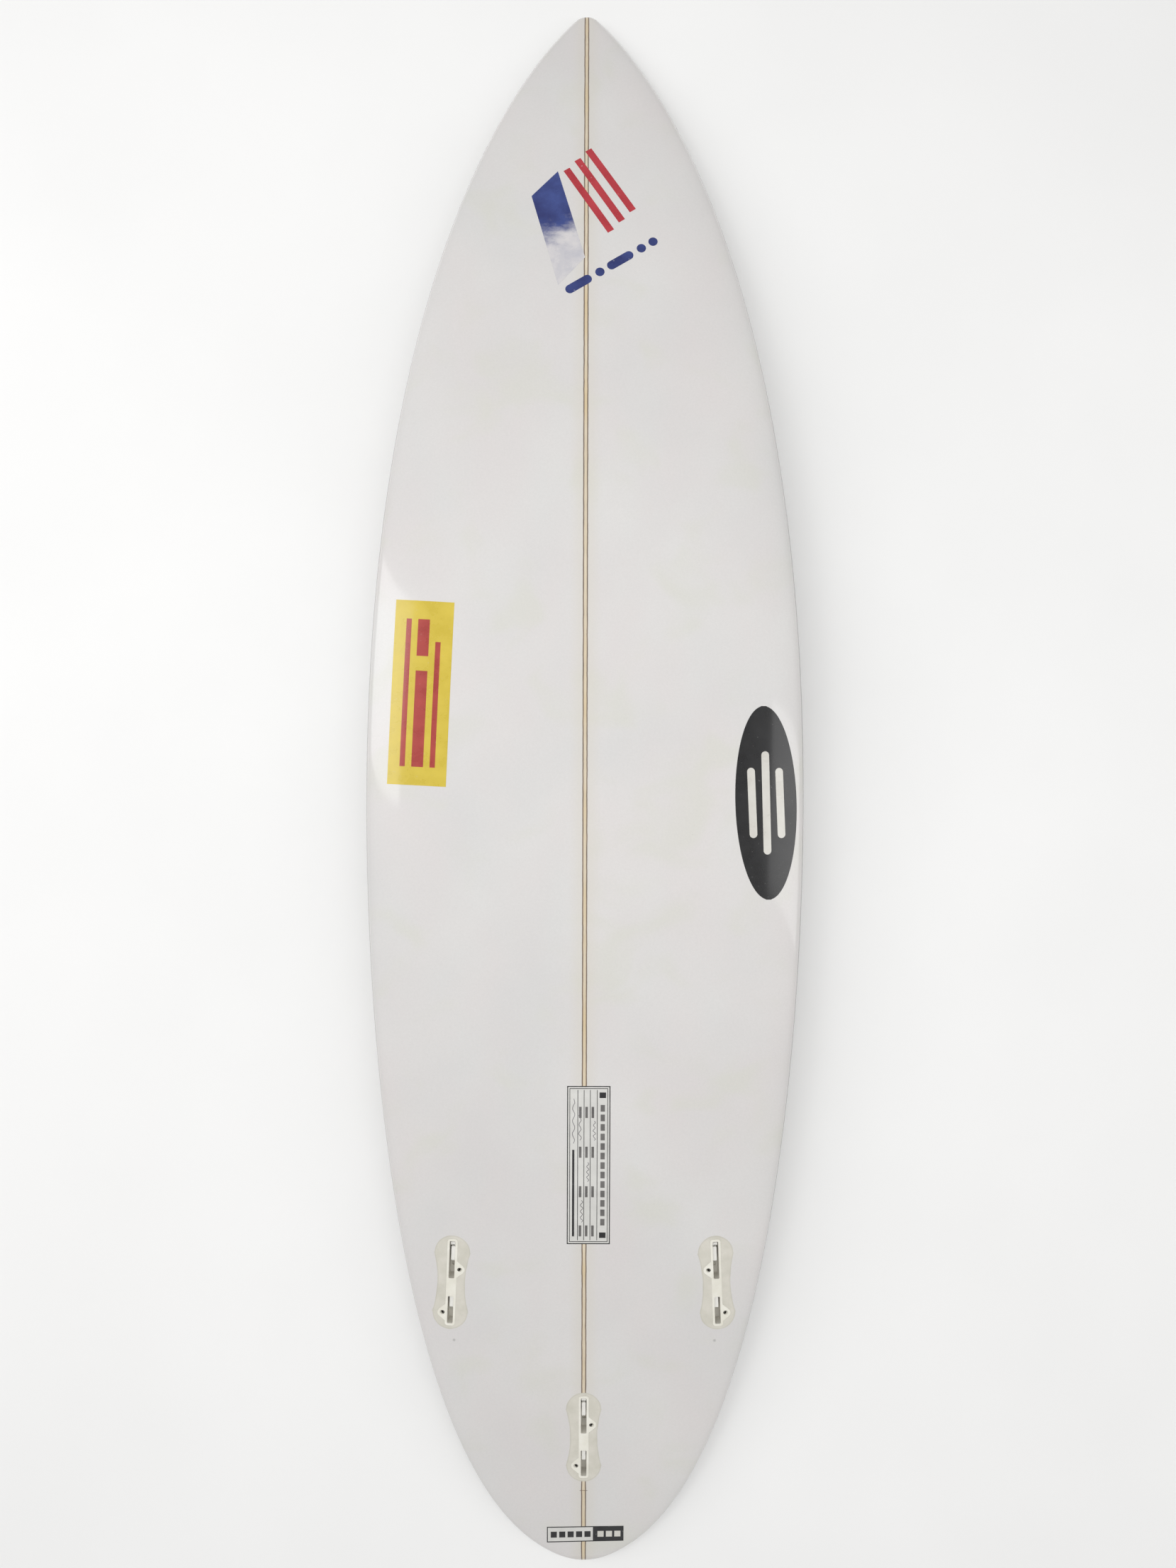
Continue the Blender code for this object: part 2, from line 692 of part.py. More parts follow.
def border(rows):
    """The verts round the edge of a grid, in order."""
    left = [row[0] for row in rows[-2:0:-1]]
    right = [row[-1] for row in rows[1:-1]]
    return rows[0] + right + rows[-1][::-1] + left


def add_film(name, guide, across_steps, along_steps, look):
    """A film that follows the bottom; guide(a, b) is its place a of the way across and b along."""
    made = bmesh.new()
    faces = []
    for lift in (GAP, GAP + FILM):
        rows = []
        for along in range(along_steps + 1):
            places = [guide(a / across_steps, along / along_steps) for a in range(across_steps + 1)]
            rows.append([bottom_point(x, y) + lift * bottom_normal(x, y) for x, y in places])
        faces.append(grid_verts(made, rows))
        join_rows(made, faces[-1], closed=False)
    under, over = border(faces[0]), border(faces[1])
    for k in range(len(under)):
        triangle_pair(made, under[k - 1], under[k], over[k], over[k - 1])
    return add_object(name, made, look)


def between(a, b, share):
    return tuple(p + (q - p) * share for p, q in zip(a, b))


def patch_guide(corners, start_y):
    back_left, back_right, front_left, front_right = ((x, start_y + y) for x, y in corners)

    def place(across, along):
        back = between(back_left, back_right, across)
        return between(back, between(front_left, front_right, across), along)

    return place


def stripe_guide(number):
    """A straight stripe; each one lies a step further back and to the left than the last."""
    shift = Vector((0, NOSE_Y)) + number * Vector(STRIPE_STEP)
    front, back = (Vector(end) + shift for end in (STRIPE_FRONT, STRIPE_BACK))
    run = (front - back).normalized()
    side = Vector((run.y, -run.x))

    def place(across, along):
        return tuple(back.lerp(front, along) + side * STRIPE_WIDTH * (across - 0.5))

    return place


def oval_guide(across, along):
    """An oval, cut off square where it would come to a point at its two ends."""
    turn = math.pi * along
    width = max(RAIL_DECAL_END, RAIL_DECAL_WIDTH * math.sin(turn))
    x, y = between(RAIL_DECAL_TAIL, RAIL_DECAL_NOSE, (1 - math.cos(turn)) / 2)
    return x + (across - 0.5) * width, y


def add_graphics(looks):
    add_film("nose_panel", patch_guide(NOSE_PANEL, NOSE_Y), 3, 6, looks["blue"])
    add_film("nose_band", patch_guide(NOSE_BAND, NOSE_Y), 6, 1, looks["blue"])
    for number in range(STRIPES):
        add_film(f"nose_stripe_{number + 1}", stripe_guide(number), 1, 8, looks["red"])
    add_film("side_sticker", patch_guide(SIDE_STICKER, 0.0), 8, 8, looks["yellow"])
    add_film("rail_decal", oval_guide, 10, 16, looks["black"])
    add_film("spec_label", patch_guide(SPEC_LABEL, TAIL_Y), 3, 6, looks["paper"])
    add_film("tail_label", patch_guide(TAIL_LABEL, TAIL_Y), 8, 2, looks["paper"])


# ---------------------------------------------------------------- assembly


def clear_scene():
    for item in list(bpy.data.objects):
        bpy.data.objects.remove(item, do_unlink=True)


def make_looks():
    return {
        "glass": material("clear_glass", (0.70, 0.69, 0.67), 0.15),
        "foam": material("foam", (0.85, 0.84, 0.80), 0.9),
        "wood": material("stringer_wood", (0.50, 0.33, 0.17), 0.6),
        "glue": material("glue", (0.12, 0.07, 0.04), 0.5),
        "core": material("core_foam", (0.60, 0.58, 0.53), 0.7),
        "plug": material("plug_plastic", (0.82, 0.80, 0.74), 0.35),
        "steel": material("steel", (0.60, 0.60, 0.60), 0.3, 1.0),
        "nylon": material("nylon", (0.55, 0.56, 0.56), 0.4),
        "blue": material("blue_print", (0.03, 0.05, 0.20), 0.25),
        "red": material("red_print", (0.58, 0.02, 0.03), 0.25),
        "yellow": material("yellow_vinyl", (0.70, 0.58, 0.03), 0.3),
        "black": material("black_vinyl", (0.02, 0.02, 0.02), 0.25),
        "paper": material("label_paper", (0.75, 0.75, 0.73), 0.3),
    }


def build():
    clear_scene()
    looks = make_looks()
    bottom = glass_skin("bottom_glass", -1, 1, GAP / 2, looks["glass"])
    deck = glass_skin("deck_glass", 1, 3, -GAP / 2, looks["glass"])
    left, right, stringer, glue_left, glue_right = add_blank(looks)
    middle_layers = [left, right, stringer, glue_left, glue_right]

    rear_y = TAIL_Y + REAR_PLUG_FROM_TAIL + PLUG_LENGTH / 2
    side_y = TAIL_Y + SIDE_PLUG_FROM_TAIL + PLUG_LENGTH / 2
    side_x = SIDE_PLUG_FROM_CENTRE
    add_fin_box("rear", 0.0, rear_y, 0.0, 1, middle_layers, bottom, looks)
    add_fin_box("left", -side_x, side_y, SIDE_TOE_DEGREES, 1, [left], bottom, looks)
    add_fin_box("right", side_x, side_y, SIDE_TOE_DEGREES, -1, [right], bottom, looks)
    add_leash_cup(middle_layers, deck, looks)
    add_graphics(looks)


build()
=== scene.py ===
"""Looks for the shortboard: fine skins, fittings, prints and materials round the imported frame.

Everything is in metres in the frame's own axes: X is the width, Y runs to the nose and the
bottom faces up. The board's surface is worked out here by the same rules as in the part.
"""

import math
from functools import lru_cache

import bmesh
import bpy
import numpy as np
from mathutils import Matrix, Vector
from mathutils.bvhtree import BVHTree
from mathutils.interpolate import poly_3d_calc


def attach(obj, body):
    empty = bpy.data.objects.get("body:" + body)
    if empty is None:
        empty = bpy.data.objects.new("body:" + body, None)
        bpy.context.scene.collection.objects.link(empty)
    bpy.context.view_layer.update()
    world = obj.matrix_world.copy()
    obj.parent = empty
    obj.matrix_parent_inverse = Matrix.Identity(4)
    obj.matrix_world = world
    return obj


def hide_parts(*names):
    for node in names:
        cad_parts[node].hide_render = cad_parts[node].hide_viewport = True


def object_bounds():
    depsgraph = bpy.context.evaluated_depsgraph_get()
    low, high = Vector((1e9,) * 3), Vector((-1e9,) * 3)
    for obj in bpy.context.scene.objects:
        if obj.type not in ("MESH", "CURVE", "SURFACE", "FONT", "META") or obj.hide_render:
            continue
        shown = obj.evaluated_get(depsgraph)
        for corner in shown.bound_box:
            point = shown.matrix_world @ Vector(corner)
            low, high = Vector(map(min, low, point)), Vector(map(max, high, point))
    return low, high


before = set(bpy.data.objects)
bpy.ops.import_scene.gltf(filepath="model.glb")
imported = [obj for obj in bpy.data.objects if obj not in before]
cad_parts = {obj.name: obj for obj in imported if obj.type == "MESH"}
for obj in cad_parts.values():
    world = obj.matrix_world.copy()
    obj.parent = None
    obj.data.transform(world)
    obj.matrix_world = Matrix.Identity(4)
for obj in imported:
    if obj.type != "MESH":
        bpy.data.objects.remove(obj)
CAD_BOX = [[float(number) for number in corner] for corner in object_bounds()]

# Overall size, outline, rocker, foil and section, as in the part
LENGTH = 1.829
WIDTH = 0.483
THICKNESS = 0.0635
WIDE_POINT_BACK = 0.046
NOSE_HANDLE = 0.723
NOSE_POINT_HANDLE = 0.0145
NOSE_POINT_TRIM = 0.004
TAIL_HANDLE = 0.292
TAIL_ROUND_HANDLE = 0.196
TAIL_ROUND_RISE = 0.0259
NOSE_ROCKER = 0.135
TAIL_ROCKER = 0.062
NOSE_ROCKER_POWER = 2.1
TAIL_ROCKER_POWER = 2.2
NOSE_THICKNESS = 0.012
TAIL_THICKNESS = 0.016
NOSE_FOIL_POWER = 1.9
TAIL_FOIL_POWER = 2.0
NOSE_TIP_RADIUS = LENGTH * 0.00328
TAIL_TIP_RADIUS = LENGTH * 0.00437
APEX_MIDDLE = 0.38
APEX_NOSE = 0.50
APEX_TAIL = 0.24
CORNER_MIDDLE = 4.2
CORNER_NOSE = 2.8
CORNER_TAIL = 6.5
SHOULDER = 2.4
CONCAVE = 0.0022
GLASS = 0.0008

# Fin plugs, cores and leash cup, as in the part
PLUG_LENGTH = 0.101
PLUG_WIDTH = 0.011
PLUG_CORNER = 0.003
PLUG_DEPTH = 0.0165
PLUG_SINK = 0.0002
SLOT_WIDTH = 0.0064
SLOT_DEPTH = 0.0135
SLOT_CORNER = 0.0012
SLOT_END_LAND = 0.0023
FRONT_SLOT_LENGTH = 0.0434
REAR_SLOT_LENGTH = 0.0318
LUG_RADIUS = 0.0053
LUG_REACH = 0.0105
LUG_ROOT = 0.0045
LUG_DEPTH = 0.0125
LUG_OFFSET = 0.0088
FRONT_LUG_FROM_FRONT = 0.0352
REAR_LUG_FROM_REAR = 0.0151
CORE_MARGIN = 0.0038
CORE_END_WIDTH = 0.039
CORE_WAIST_WIDTH = 0.0305
REAR_PLUG_FROM_TAIL = 0.1062
SIDE_PLUG_FROM_TAIL = 0.2910
SIDE_PLUG_FROM_CENTRE = 0.1480
SIDE_TOE_DEGREES = 2.7
SCREW_RADIUS = 0.0021
SCREW_LENGTH = 0.0065
SCREW_RECESS = 0.0005
SCREW_TILT_DEGREES = 30.0
SCREW_SOCKET_RADIUS = 0.0013
SCREW_SOCKET_DEPTH = 0.003
ROLLER_RADIUS = 0.0023
ROLLER_WIDTH = 0.0056
ROLLER_FROM_SLOT_END = 0.005
ROLLER_BELOW_FACE = 0.0065
BAR_RADIUS = 0.0009
BAR_LENGTH = 0.0088
CUP_RADIUS = 0.014
CUP_WALL = 0.003
CUP_DEPTH = 0.018
CUP_FLOOR = 0.0025
CUP_FROM_TAIL = 0.062
CUP_PIN_RADIUS = 0.002
CUP_PIN_BELOW_RIM = 0.0077
CUP_PIN_SOCKET = 0.0015

# Prints and stickers, as in the part: corners are back left, back right, front left, front right
FILM = 0.0003
NOSE_PANEL = ((-0.0317, 0.5455), (-0.0013, 0.5797), (-0.0629, 0.6575), (-0.0330, 0.6901))
NOSE_BAND = ((-0.0180, 0.5330), (0.0842, 0.5971), (-0.0246, 0.5440), (0.0776, 0.6081))
STRIPE_FRONT = (0.0020, 0.7190)
STRIPE_BACK = (0.0531, 0.6390)
STRIPE_STEP = (-0.0125, -0.0131)
STRIPE_WIDTH = 0.0082
STRIPES = 3
SIDE_STICKER = ((-0.2162, -0.0183), (-0.1515, -0.0216), (-0.2069, 0.1834), (-0.1428, 0.1795))
RAIL_DECAL_TAIL = (0.2009, -0.1438)
RAIL_DECAL_NOSE = (0.1947, 0.0673)
RAIL_DECAL_WIDTH = 0.068
RAIL_DECAL_END = 0.006
SPEC_LABEL = ((-0.0192, -0.5284), (0.0286, -0.5284), (-0.0188, -0.3495), (0.0287, -0.3495))
TAIL_LABEL = ((-0.0421, -0.8895), (0.0460, -0.8870), (-0.0420, -0.8695), (0.0460, -0.8679))

# Marks under the glass: a cross tick on the stringer, and one dot behind each side plug
TICK_Y = -0.8235
DOT_Y = -0.6405
DOT_XS = (-0.1455, 0.1465)

# Ledges in the slots: start and end behind the front of each slot, then their shape
LEDGE_SPANS = ((0.0083, 0.0245), (0.0010, 0.0150))
LEDGE_TOP = -0.0042
LEDGE_WIDTH = 0.0046
LEDGE_CORNER = 0.0008
LEDGE_LEAN = 0.0006

# Generic marks, as shares of their stickers or labels
BAND_MARKS = ((0.03, 0.22), (0.36, 0.36), (0.49, 0.68), (0.82, 0.82), (0.95, 0.95))
BAND_MARK_WIDTH = 0.0105
STICKER_BARS = ((0.20, 0.29, 0.10, 0.90), (0.40, 0.60, 0.10, 0.62), (0.71, 0.80, 0.10, 0.78))
DECAL_BARS = ((-0.0155, 0.034), (0.0, 0.052), (0.0155, 0.034))
DECAL_BAR_WIDTH = 0.0085
DECAL_BAR_LEAN = 0.0015
LABEL_RULES = (0.24, 0.385, 0.53, 0.69)
CAPTION_COLUMNS = ((0.275, 0.335), (0.42, 0.48), (0.565, 0.625))
CAPTION_ROWS = (0.05, 0.30, 0.55, 0.80)
STROKES = (
    (0.27, 0.66, 0.86),
    (0.31, 0.14, 0.28),
    (0.45, 0.40, 0.52),
    (0.60, 0.66, 0.78),
    (0.12, 0.64, 0.92),
)
STROKE_POINTS = 22
STROKE_WIDTH = 0.0007

# Visible detail
STATIONS = 200
HALF_STEPS = 36
SEAM = 0.00003
PLUG_SWELL = 0.0002
HOLE_GAP = 0.00026
FINE = 48
ON_SURFACE = 0.00008

# Camera: a phone's main lens above the middle of the board
PHOTO_HEIGHT = 2212
FOCAL_LENGTH = 1491.0
CAMERA_X = 0.0033
CAMERA_Y = -0.0505
CAMERA_ABOVE = 1.15
CAMERA_TILT = 0.0282
CAMERA_ROLL = 0.0022

NOSE_Y = LENGTH / 2
TAIL_Y = -LENGTH / 2
WIDE_Y = -WIDE_POINT_BACK
QUARTER_TURN = math.pi / 2
TINY = 1e-4
BOARD = "board"
REAR_BOX_Y = TAIL_Y + REAR_PLUG_FROM_TAIL + PLUG_LENGTH / 2
SIDE_BOX_Y = TAIL_Y + SIDE_PLUG_FROM_TAIL + PLUG_LENGTH / 2


# ---------------------------------------------------------------- board surface


def bezier(ends_and_handles, t):
    a, b, c, d = ends_and_handles
    s = 1.0 - t
    return s * s * s * a + 3 * s * s * t * b + 3 * s * t * t * c + t * t * t * d


def curve_at_height(ys, xs, y):
    low, high = 0.0, 1.0
    rising = ys[3] > ys[0]
    for _ in range(40):
        middle = (low + high) / 2
        if (bezier(ys, middle) < y) == rising:
            low = middle
        else:
            high = middle
    return bezier(xs, (low + high) / 2)


def tip_rounding(y, radius_nose, radius_tail):
    """Falls from 1 to 0 along a quarter circle over the last few millimetres before a tip."""
    radius = radius_nose if y > 0 else radius_tail
    from_tip = NOSE_Y - abs(y)
    if from_tip >= radius:
        return 1.0
    return math.sqrt(max(0.0, 1.0 - (1.0 - from_tip / radius) ** 2))


@lru_cache(maxsize=None)
def half_width(y):
    half = WIDTH / 2
    if y >= WIDE_Y:
        tip = NOSE_Y + NOSE_POINT_TRIM
        ys = (tip, tip, WIDE_Y + NOSE_HANDLE, WIDE_Y)
        xs = (0.0, NOSE_POINT_HANDLE, half, half)
        return curve_at_height(ys, xs, y) * tip_rounding(y, NOSE_TIP_RADIUS, NOSE_TIP_RADIUS)
    ys = (TAIL_Y, TAIL_Y + TAIL_ROUND_RISE, WIDE_Y - TAIL_HANDLE, WIDE_Y)
    xs = (0.0, TAIL_ROUND_HANDLE, half, half)
    return curve_at_height(ys, xs, y)


def from_middle(y, middle, nose, tail):
    end = nose if y > 0 else tail
    return middle + (end - middle) * (y / NOSE_Y) ** 2


def foil(y):
    share = abs(y) / NOSE_Y
    if y > 0:
        return THICKNESS - (THICKNESS - NOSE_THICKNESS) * share**NOSE_FOIL_POWER
    return THICKNESS - (THICKNESS - TAIL_THICKNESS) * share**TAIL_FOIL_POWER


def rocker(y):
    share = abs(y) / NOSE_Y
    if y > 0:
        return NOSE_ROCKER * share**NOSE_ROCKER_POWER
    return TAIL_ROCKER * share**TAIL_ROCKER_POWER


def apex_share(y):
    return from_middle(y, APEX_MIDDLE, APEX_NOSE, APEX_TAIL)


def lowest_deck(y_tip, tip_radius):
    inward = -1 if y_tip > 0 else 1
    lowest = (math.inf, y_tip)
    for step in range(61):
        y = y_tip + inward * tip_radius * step / 20
        rounding = tip_rounding(y, NOSE_TIP_RADIUS, TAIL_TIP_RADIUS)
        deck = -rocker(y) - foil(y) * (apex_share(y) + (1 - apex_share(y)) * rounding)
        lowest = min(lowest, (deck, y))
    return lowest


NOSE_LOW, NOSE_LOW_Y = lowest_deck(NOSE_Y, NOSE_TIP_RADIUS)
TAIL_LOW, TAIL_LOW_Y = lowest_deck(TAIL_Y, TAIL_TIP_RADIUS)
LEVEL_SLOPE = (TAIL_LOW - NOSE_LOW) / (NOSE_LOW_Y - TAIL_LOW_Y)
MIDDLE_HEIGHT = -(NOSE_LOW + LEVEL_SLOPE * NOSE_LOW_Y)


def apex_height(y):
    return MIDDLE_HEIGHT + LEVEL_SLOPE * y - rocker(y) - apex_share(y) * foil(y)


def concave_lift(y, across):
    return CONCAVE * (1 - (y / NOSE_Y) ** 2) * (1 - (1 - across * across) ** 2)


def section_point(y, turn):
    """A point of the section: turn 0 is the bottom's centreline, 1 the right rail, 2 the deck's."""
    sine = math.sin(turn * QUARTER_TURN)
    cosine = math.cos(turn * QUARTER_TURN)
    rounding = tip_rounding(y, NOSE_TIP_RADIUS, TAIL_TIP_RADIUS)
    share = apex_share(y)
    if cosine > 0:
        power = from_middle(y, CORNER_MIDDLE, CORNER_NOSE, CORNER_TAIL)
        height = share * foil(y) * rounding
    else:
        power = SHOULDER
        height = (1 - share) * foil(y) * rounding
    reach = (abs(sine) ** power + abs(cosine) ** power) ** (-1 / power)
    across = reach * sine
    up = apex_height(y) + height * reach * cosine + concave_lift(y, across)
    return Vector((half_width(y) * across, y, up))


def bottom_point(x, y):
    power = from_middle(y, CORNER_MIDDLE, CORNER_NOSE, CORNER_TAIL)
    across = min(1.0, abs(x) / half_width(y))
    height = apex_share(y) * foil(y) * (1 - across**power) ** (1 / power)
    return Vector((x, y, apex_height(y) + height + concave_lift(y, across)))


def bottom_normal(x, y):
    along_x = bottom_point(x + TINY, y) - bottom_point(x - TINY, y)
    along_y = bottom_point(x, y + TINY) - bottom_point(x, y - TINY)
    return along_x.cross(along_y).normalized()


def surface_frame(s, turn):
    """A point of the board's surface and its outward normal; s runs from -1 to 1, tail to nose."""
    y = NOSE_Y * math.sin(s * QUARTER_TURN)
    point = section_point(y, turn)
    if abs(s) > 1 - TINY:
        return point, Vector((0, math.copysign(1, s), 0))
    ahead = NOSE_Y * math.sin((s + TINY) * QUARTER_TURN)
    behind = NOSE_Y * math.sin((s - TINY) * QUARTER_TURN)
    along = section_point(ahead, turn) - section_point(behind, turn)
    around = section_point(y, turn + TINY) - section_point(y, turn - TINY)
    return point, around.cross(along).normalized()


# ---------------------------------------------------------------- mesh helpers


def finish_mesh(name, mesh_edit, looks, smooth_degrees=35):
    bmesh.ops.recalc_face_normals(mesh_edit, faces=mesh_edit.faces)
    mesh = bpy.data.meshes.new(name)
    mesh_edit.to_mesh(mesh)
    mesh_edit.free()
    mesh.shade_smooth()
    mesh.set_sharp_from_angle(angle=math.radians(smooth_degrees))
    for look in looks:
        mesh.materials.append(look)
    made = bpy.data.objects.new(name, mesh)
    bpy.context.scene.collection.objects.link(made)
    return made


def apply_modifiers(obj):
    graph = bpy.context.evaluated_depsgraph_get()
    mesh = bpy.data.meshes.new_from_object(obj.evaluated_get(graph), depsgraph=graph)
    obj.modifiers.clear()
    old = obj.data
    obj.data = mesh
    bpy.data.meshes.remove(old)


def cut(target, tools, operation="DIFFERENCE"):
    """Joins the tools to the target or takes them out of it, and removes them."""
    for tool in tools:
        step = target.modifiers.new(tool.name, "BOOLEAN")
        step.operation = operation
        step.solver = "EXACT"
        step.object = tool
    apply_modifiers(target)
    for tool in tools:
        bpy.data.objects.remove(tool, do_unlink=True)


def place_mesh(obj, matrix):
    obj.data.transform(matrix)
    obj.data.update()


def prism(outline, low, high):
    made = bmesh.new()
    base = made.faces.new([made.verts.new((x, y, low)) for x, y in outline])
    top = bmesh.ops.extrude_face_region(made, geom=[base])["geom"]
    raised = [item for item in top if isinstance(item, bmesh.types.BMVert)]
    bmesh.ops.translate(made, verts=raised, vec=(0, 0, high - low))
    return made


def arc(centre, radius, start, end, steps):
    angles = [start + (end - start) * step / steps for step in range(steps + 1)]
    return [(centre[0] + radius * math.cos(a), centre[1] + radius * math.sin(a)) for a in angles]


def rounded_rectangle(length, width, corner, centre_y):
    reach_x = width / 2 - corner
    reach_y = length / 2 - corner
    points = []
    for number, (side, end) in enumerate(((1, 1), (-1, 1), (-1, -1), (1, -1))):
        centre = (side * reach_x, centre_y + end * reach_y)
        start = number * QUARTER_TURN
        points += arc(centre, corner, start, start + QUARTER_TURN, 8)
    return points


def circle(radius, steps):
    return arc((0, 0), radius, 0, 2 * math.pi, steps)[:-1]


def add_face(mesh_edit, *corners):
    """A face through its corners, of which two neighbours may be the same vert."""
    mesh_edit.faces.new(list(dict.fromkeys(corners)))


def grid_verts(mesh_edit, rows):
    return [[mesh_edit.verts.new(point) for point in row] for row in rows]


def join_rows(mesh_edit, rows, closed=False):
    """Fills the grid between rows of verts; a row of one vert is a tip."""
    for near, far in zip(rows, rows[1:]):
        count = max(len(near), len(far))
        for k in range(count if closed else count - 1):
            a, b = near[k % len(near)], near[(k + 1) % len(near)]
            c, d = far[(k + 1) % len(far)], far[k % len(far)]
            add_face(mesh_edit, a, b, c, d)


def turned_rows(profile, steps):
    """Rings of points round local Z, one for each (radius, height); on the axis it is one point."""
    rows = []
    for radius, height in profile:
        ring = circle(radius, steps) if radius > 0 else [(0.0, 0.0)]
        rows.append([(x, y, height) for x, y in ring])
    return rows


def lathe(name, profile, looks, steps=FINE, smooth_degrees=30):
    """A closed body turned round local Z; the profile starts and ends on the axis."""
    made = bmesh.new()
    join_rows(made, grid_verts(made, turned_rows(profile, steps)), closed=True)
    return finish_mesh(name, made, looks, smooth_degrees)


# ---------------------------------------------------------------- materials


class Look:
    """A material under construction: short calls that add nodes and return their output sockets."""

    def __init__(self, name, roughness=0.5, metallic=0.0, coat=0.0, coat_roughness=0.05):
        self.made = bpy.data.materials.new(name)
        self.made.use_nodes = True
        self.tree = self.made.node_tree
        self.shader = self.tree.nodes["Principled BSDF"]
        self.shader.inputs["Roughness"].default_value = roughness
        self.shader.inputs["Metallic"].default_value = metallic
        self.shader.inputs["Coat Weight"].default_value = coat
        self.shader.inputs["Coat Roughness"].default_value = coat_roughness
        coordinates = self.tree.nodes.new("ShaderNodeTexCoord")
        self.place = coordinates.outputs["Object"]
        self.normal = coordinates.outputs["Normal"]
        parts = self.tree.nodes.new("ShaderNodeSeparateXYZ")
        self.tree.links.new(self.place, parts.inputs[0])
        self.x, self.y, _ = parts.outputs

    def feed(self, socket, value):
        if isinstance(value, bpy.types.NodeSocket):
            self.tree.links.new(value, socket)
        else:
            socket.default_value = value

    def math(self, operation, a, b=0.0):
        node = self.tree.nodes.new("ShaderNodeMath")
        node.operation = operation
        for socket, value in zip(node.inputs, (a, b)):
            self.feed(socket, value)
        return node.outputs[0]

    def stretch(self, x=1.0, y=1.0, z=1.0):
        node = self.tree.nodes.new("ShaderNodeMapping")
        node.inputs["Scale"].default_value = (x, y, z)
        self.tree.links.new(self.place, node.inputs["Vector"])
        return node.outputs[0]

    def noise(self, scale, detail=2.0, roughness=0.5, where=None, distortion=0.0):
        node = self.tree.nodes.new("ShaderNodeTexNoise")
        node.inputs["Scale"].default_value = scale
        node.inputs["Detail"].default_value = detail
        node.inputs["Roughness"].default_value = roughness
        node.inputs["Distortion"].default_value = distortion
        self.tree.links.new(where or self.place, node.inputs["Vector"])
        return node.outputs["Fac"]

    def cells(self, scale, where=None):
        node = self.tree.nodes.new("ShaderNodeTexVoronoi")
        node.inputs["Scale"].default_value = scale
        self.tree.links.new(where or self.place, node.inputs["Vector"])
        return node.outputs["Distance"]

    def step(self, value, low, high):
        """0 below low, 1 above high, and a smooth change between; low may be above high."""
        node = self.tree.nodes.new("ShaderNodeMapRange")
        node.interpolation_type = "SMOOTHSTEP"
        turned = low > high
        first, last = (high, low) if turned else (low, high)
        self.feed(node.inputs["Value"], value)
        node.inputs["From Min"].default_value = first
        node.inputs["From Max"].default_value = last
        node.inputs["To Min"].default_value = 1.0 if turned else 0.0
        node.inputs["To Max"].default_value = 0.0 if turned else 1.0
        return node.outputs["Result"]

    def mix(self, share, a, b):
        node = self.tree.nodes.new("ShaderNodeMix")
        node.data_type = "RGBA"
        self.feed(node.inputs["Factor"], share)
        self.feed(node.inputs[6], (*a, 1.0) if isinstance(a, tuple) else a)
        self.feed(node.inputs[7], (*b, 1.0) if isinstance(b, tuple) else b)
        return node.outputs[2]

    def both(self, a, b):
        return self.math("MULTIPLY", a, b)

    def minus(self, a, b):
        return self.math("SUBTRACT", a, b)

    def far(self, a, b):
        """The length of the run whose two legs are a and b."""
        return self.math("SQRT", self.math("ADD", self.both(a, a), self.both(b, b)))

    def swing(self, noise, size):
        """A noise value turned into a shift to either side of nothing."""
        return self.both(self.minus(noise, 0.5), size)

    def tones(self, noise, dark, light):
        return self.mix(self.scaled(noise, 0.0, 1.0), dark, light)

    def scaled(self, value, low, high):
        """A noise value from about 0.3 to 0.7 turned into low to high."""
        node = self.tree.nodes.new("ShaderNodeMapRange")
        self.feed(node.inputs["Value"], value)
        node.inputs["From Min"].default_value = 0.3
        node.inputs["From Max"].default_value = 0.7
        node.inputs["To Min"].default_value = low
        node.inputs["To Max"].default_value = high
        return node.outputs["Result"]

    def bump(self, height, strength, depth):
        node = self.tree.nodes.new("ShaderNodeBump")
        node.inputs["Strength"].default_value = strength
        node.inputs["Distance"].default_value = depth
        self.tree.links.new(height, node.inputs["Height"])
        last = self.shader.inputs["Normal"].links
        if last:
            self.tree.links.new(last[0].from_socket, node.inputs["Normal"])
        self.tree.links.new(node.outputs["Normal"], self.shader.inputs["Normal"])

    def colour(self, value):
        self.feed(self.shader.inputs["Base Color"], (*value, 1.0) if isinstance(value, tuple) else value)

    def roughness(self, value):
        self.feed(self.shader.inputs["Roughness"], value)


def srgb(red, green, blue):
    """A colour given as 0 to 255 screen values, in the linear numbers that shaders read."""
    shares = [value / 255 for value in (red, green, blue)]
    return tuple(share / 12.92 if share <= 0.04045 else ((share + 0.055) / 1.055) ** 2.4 for share in shares)


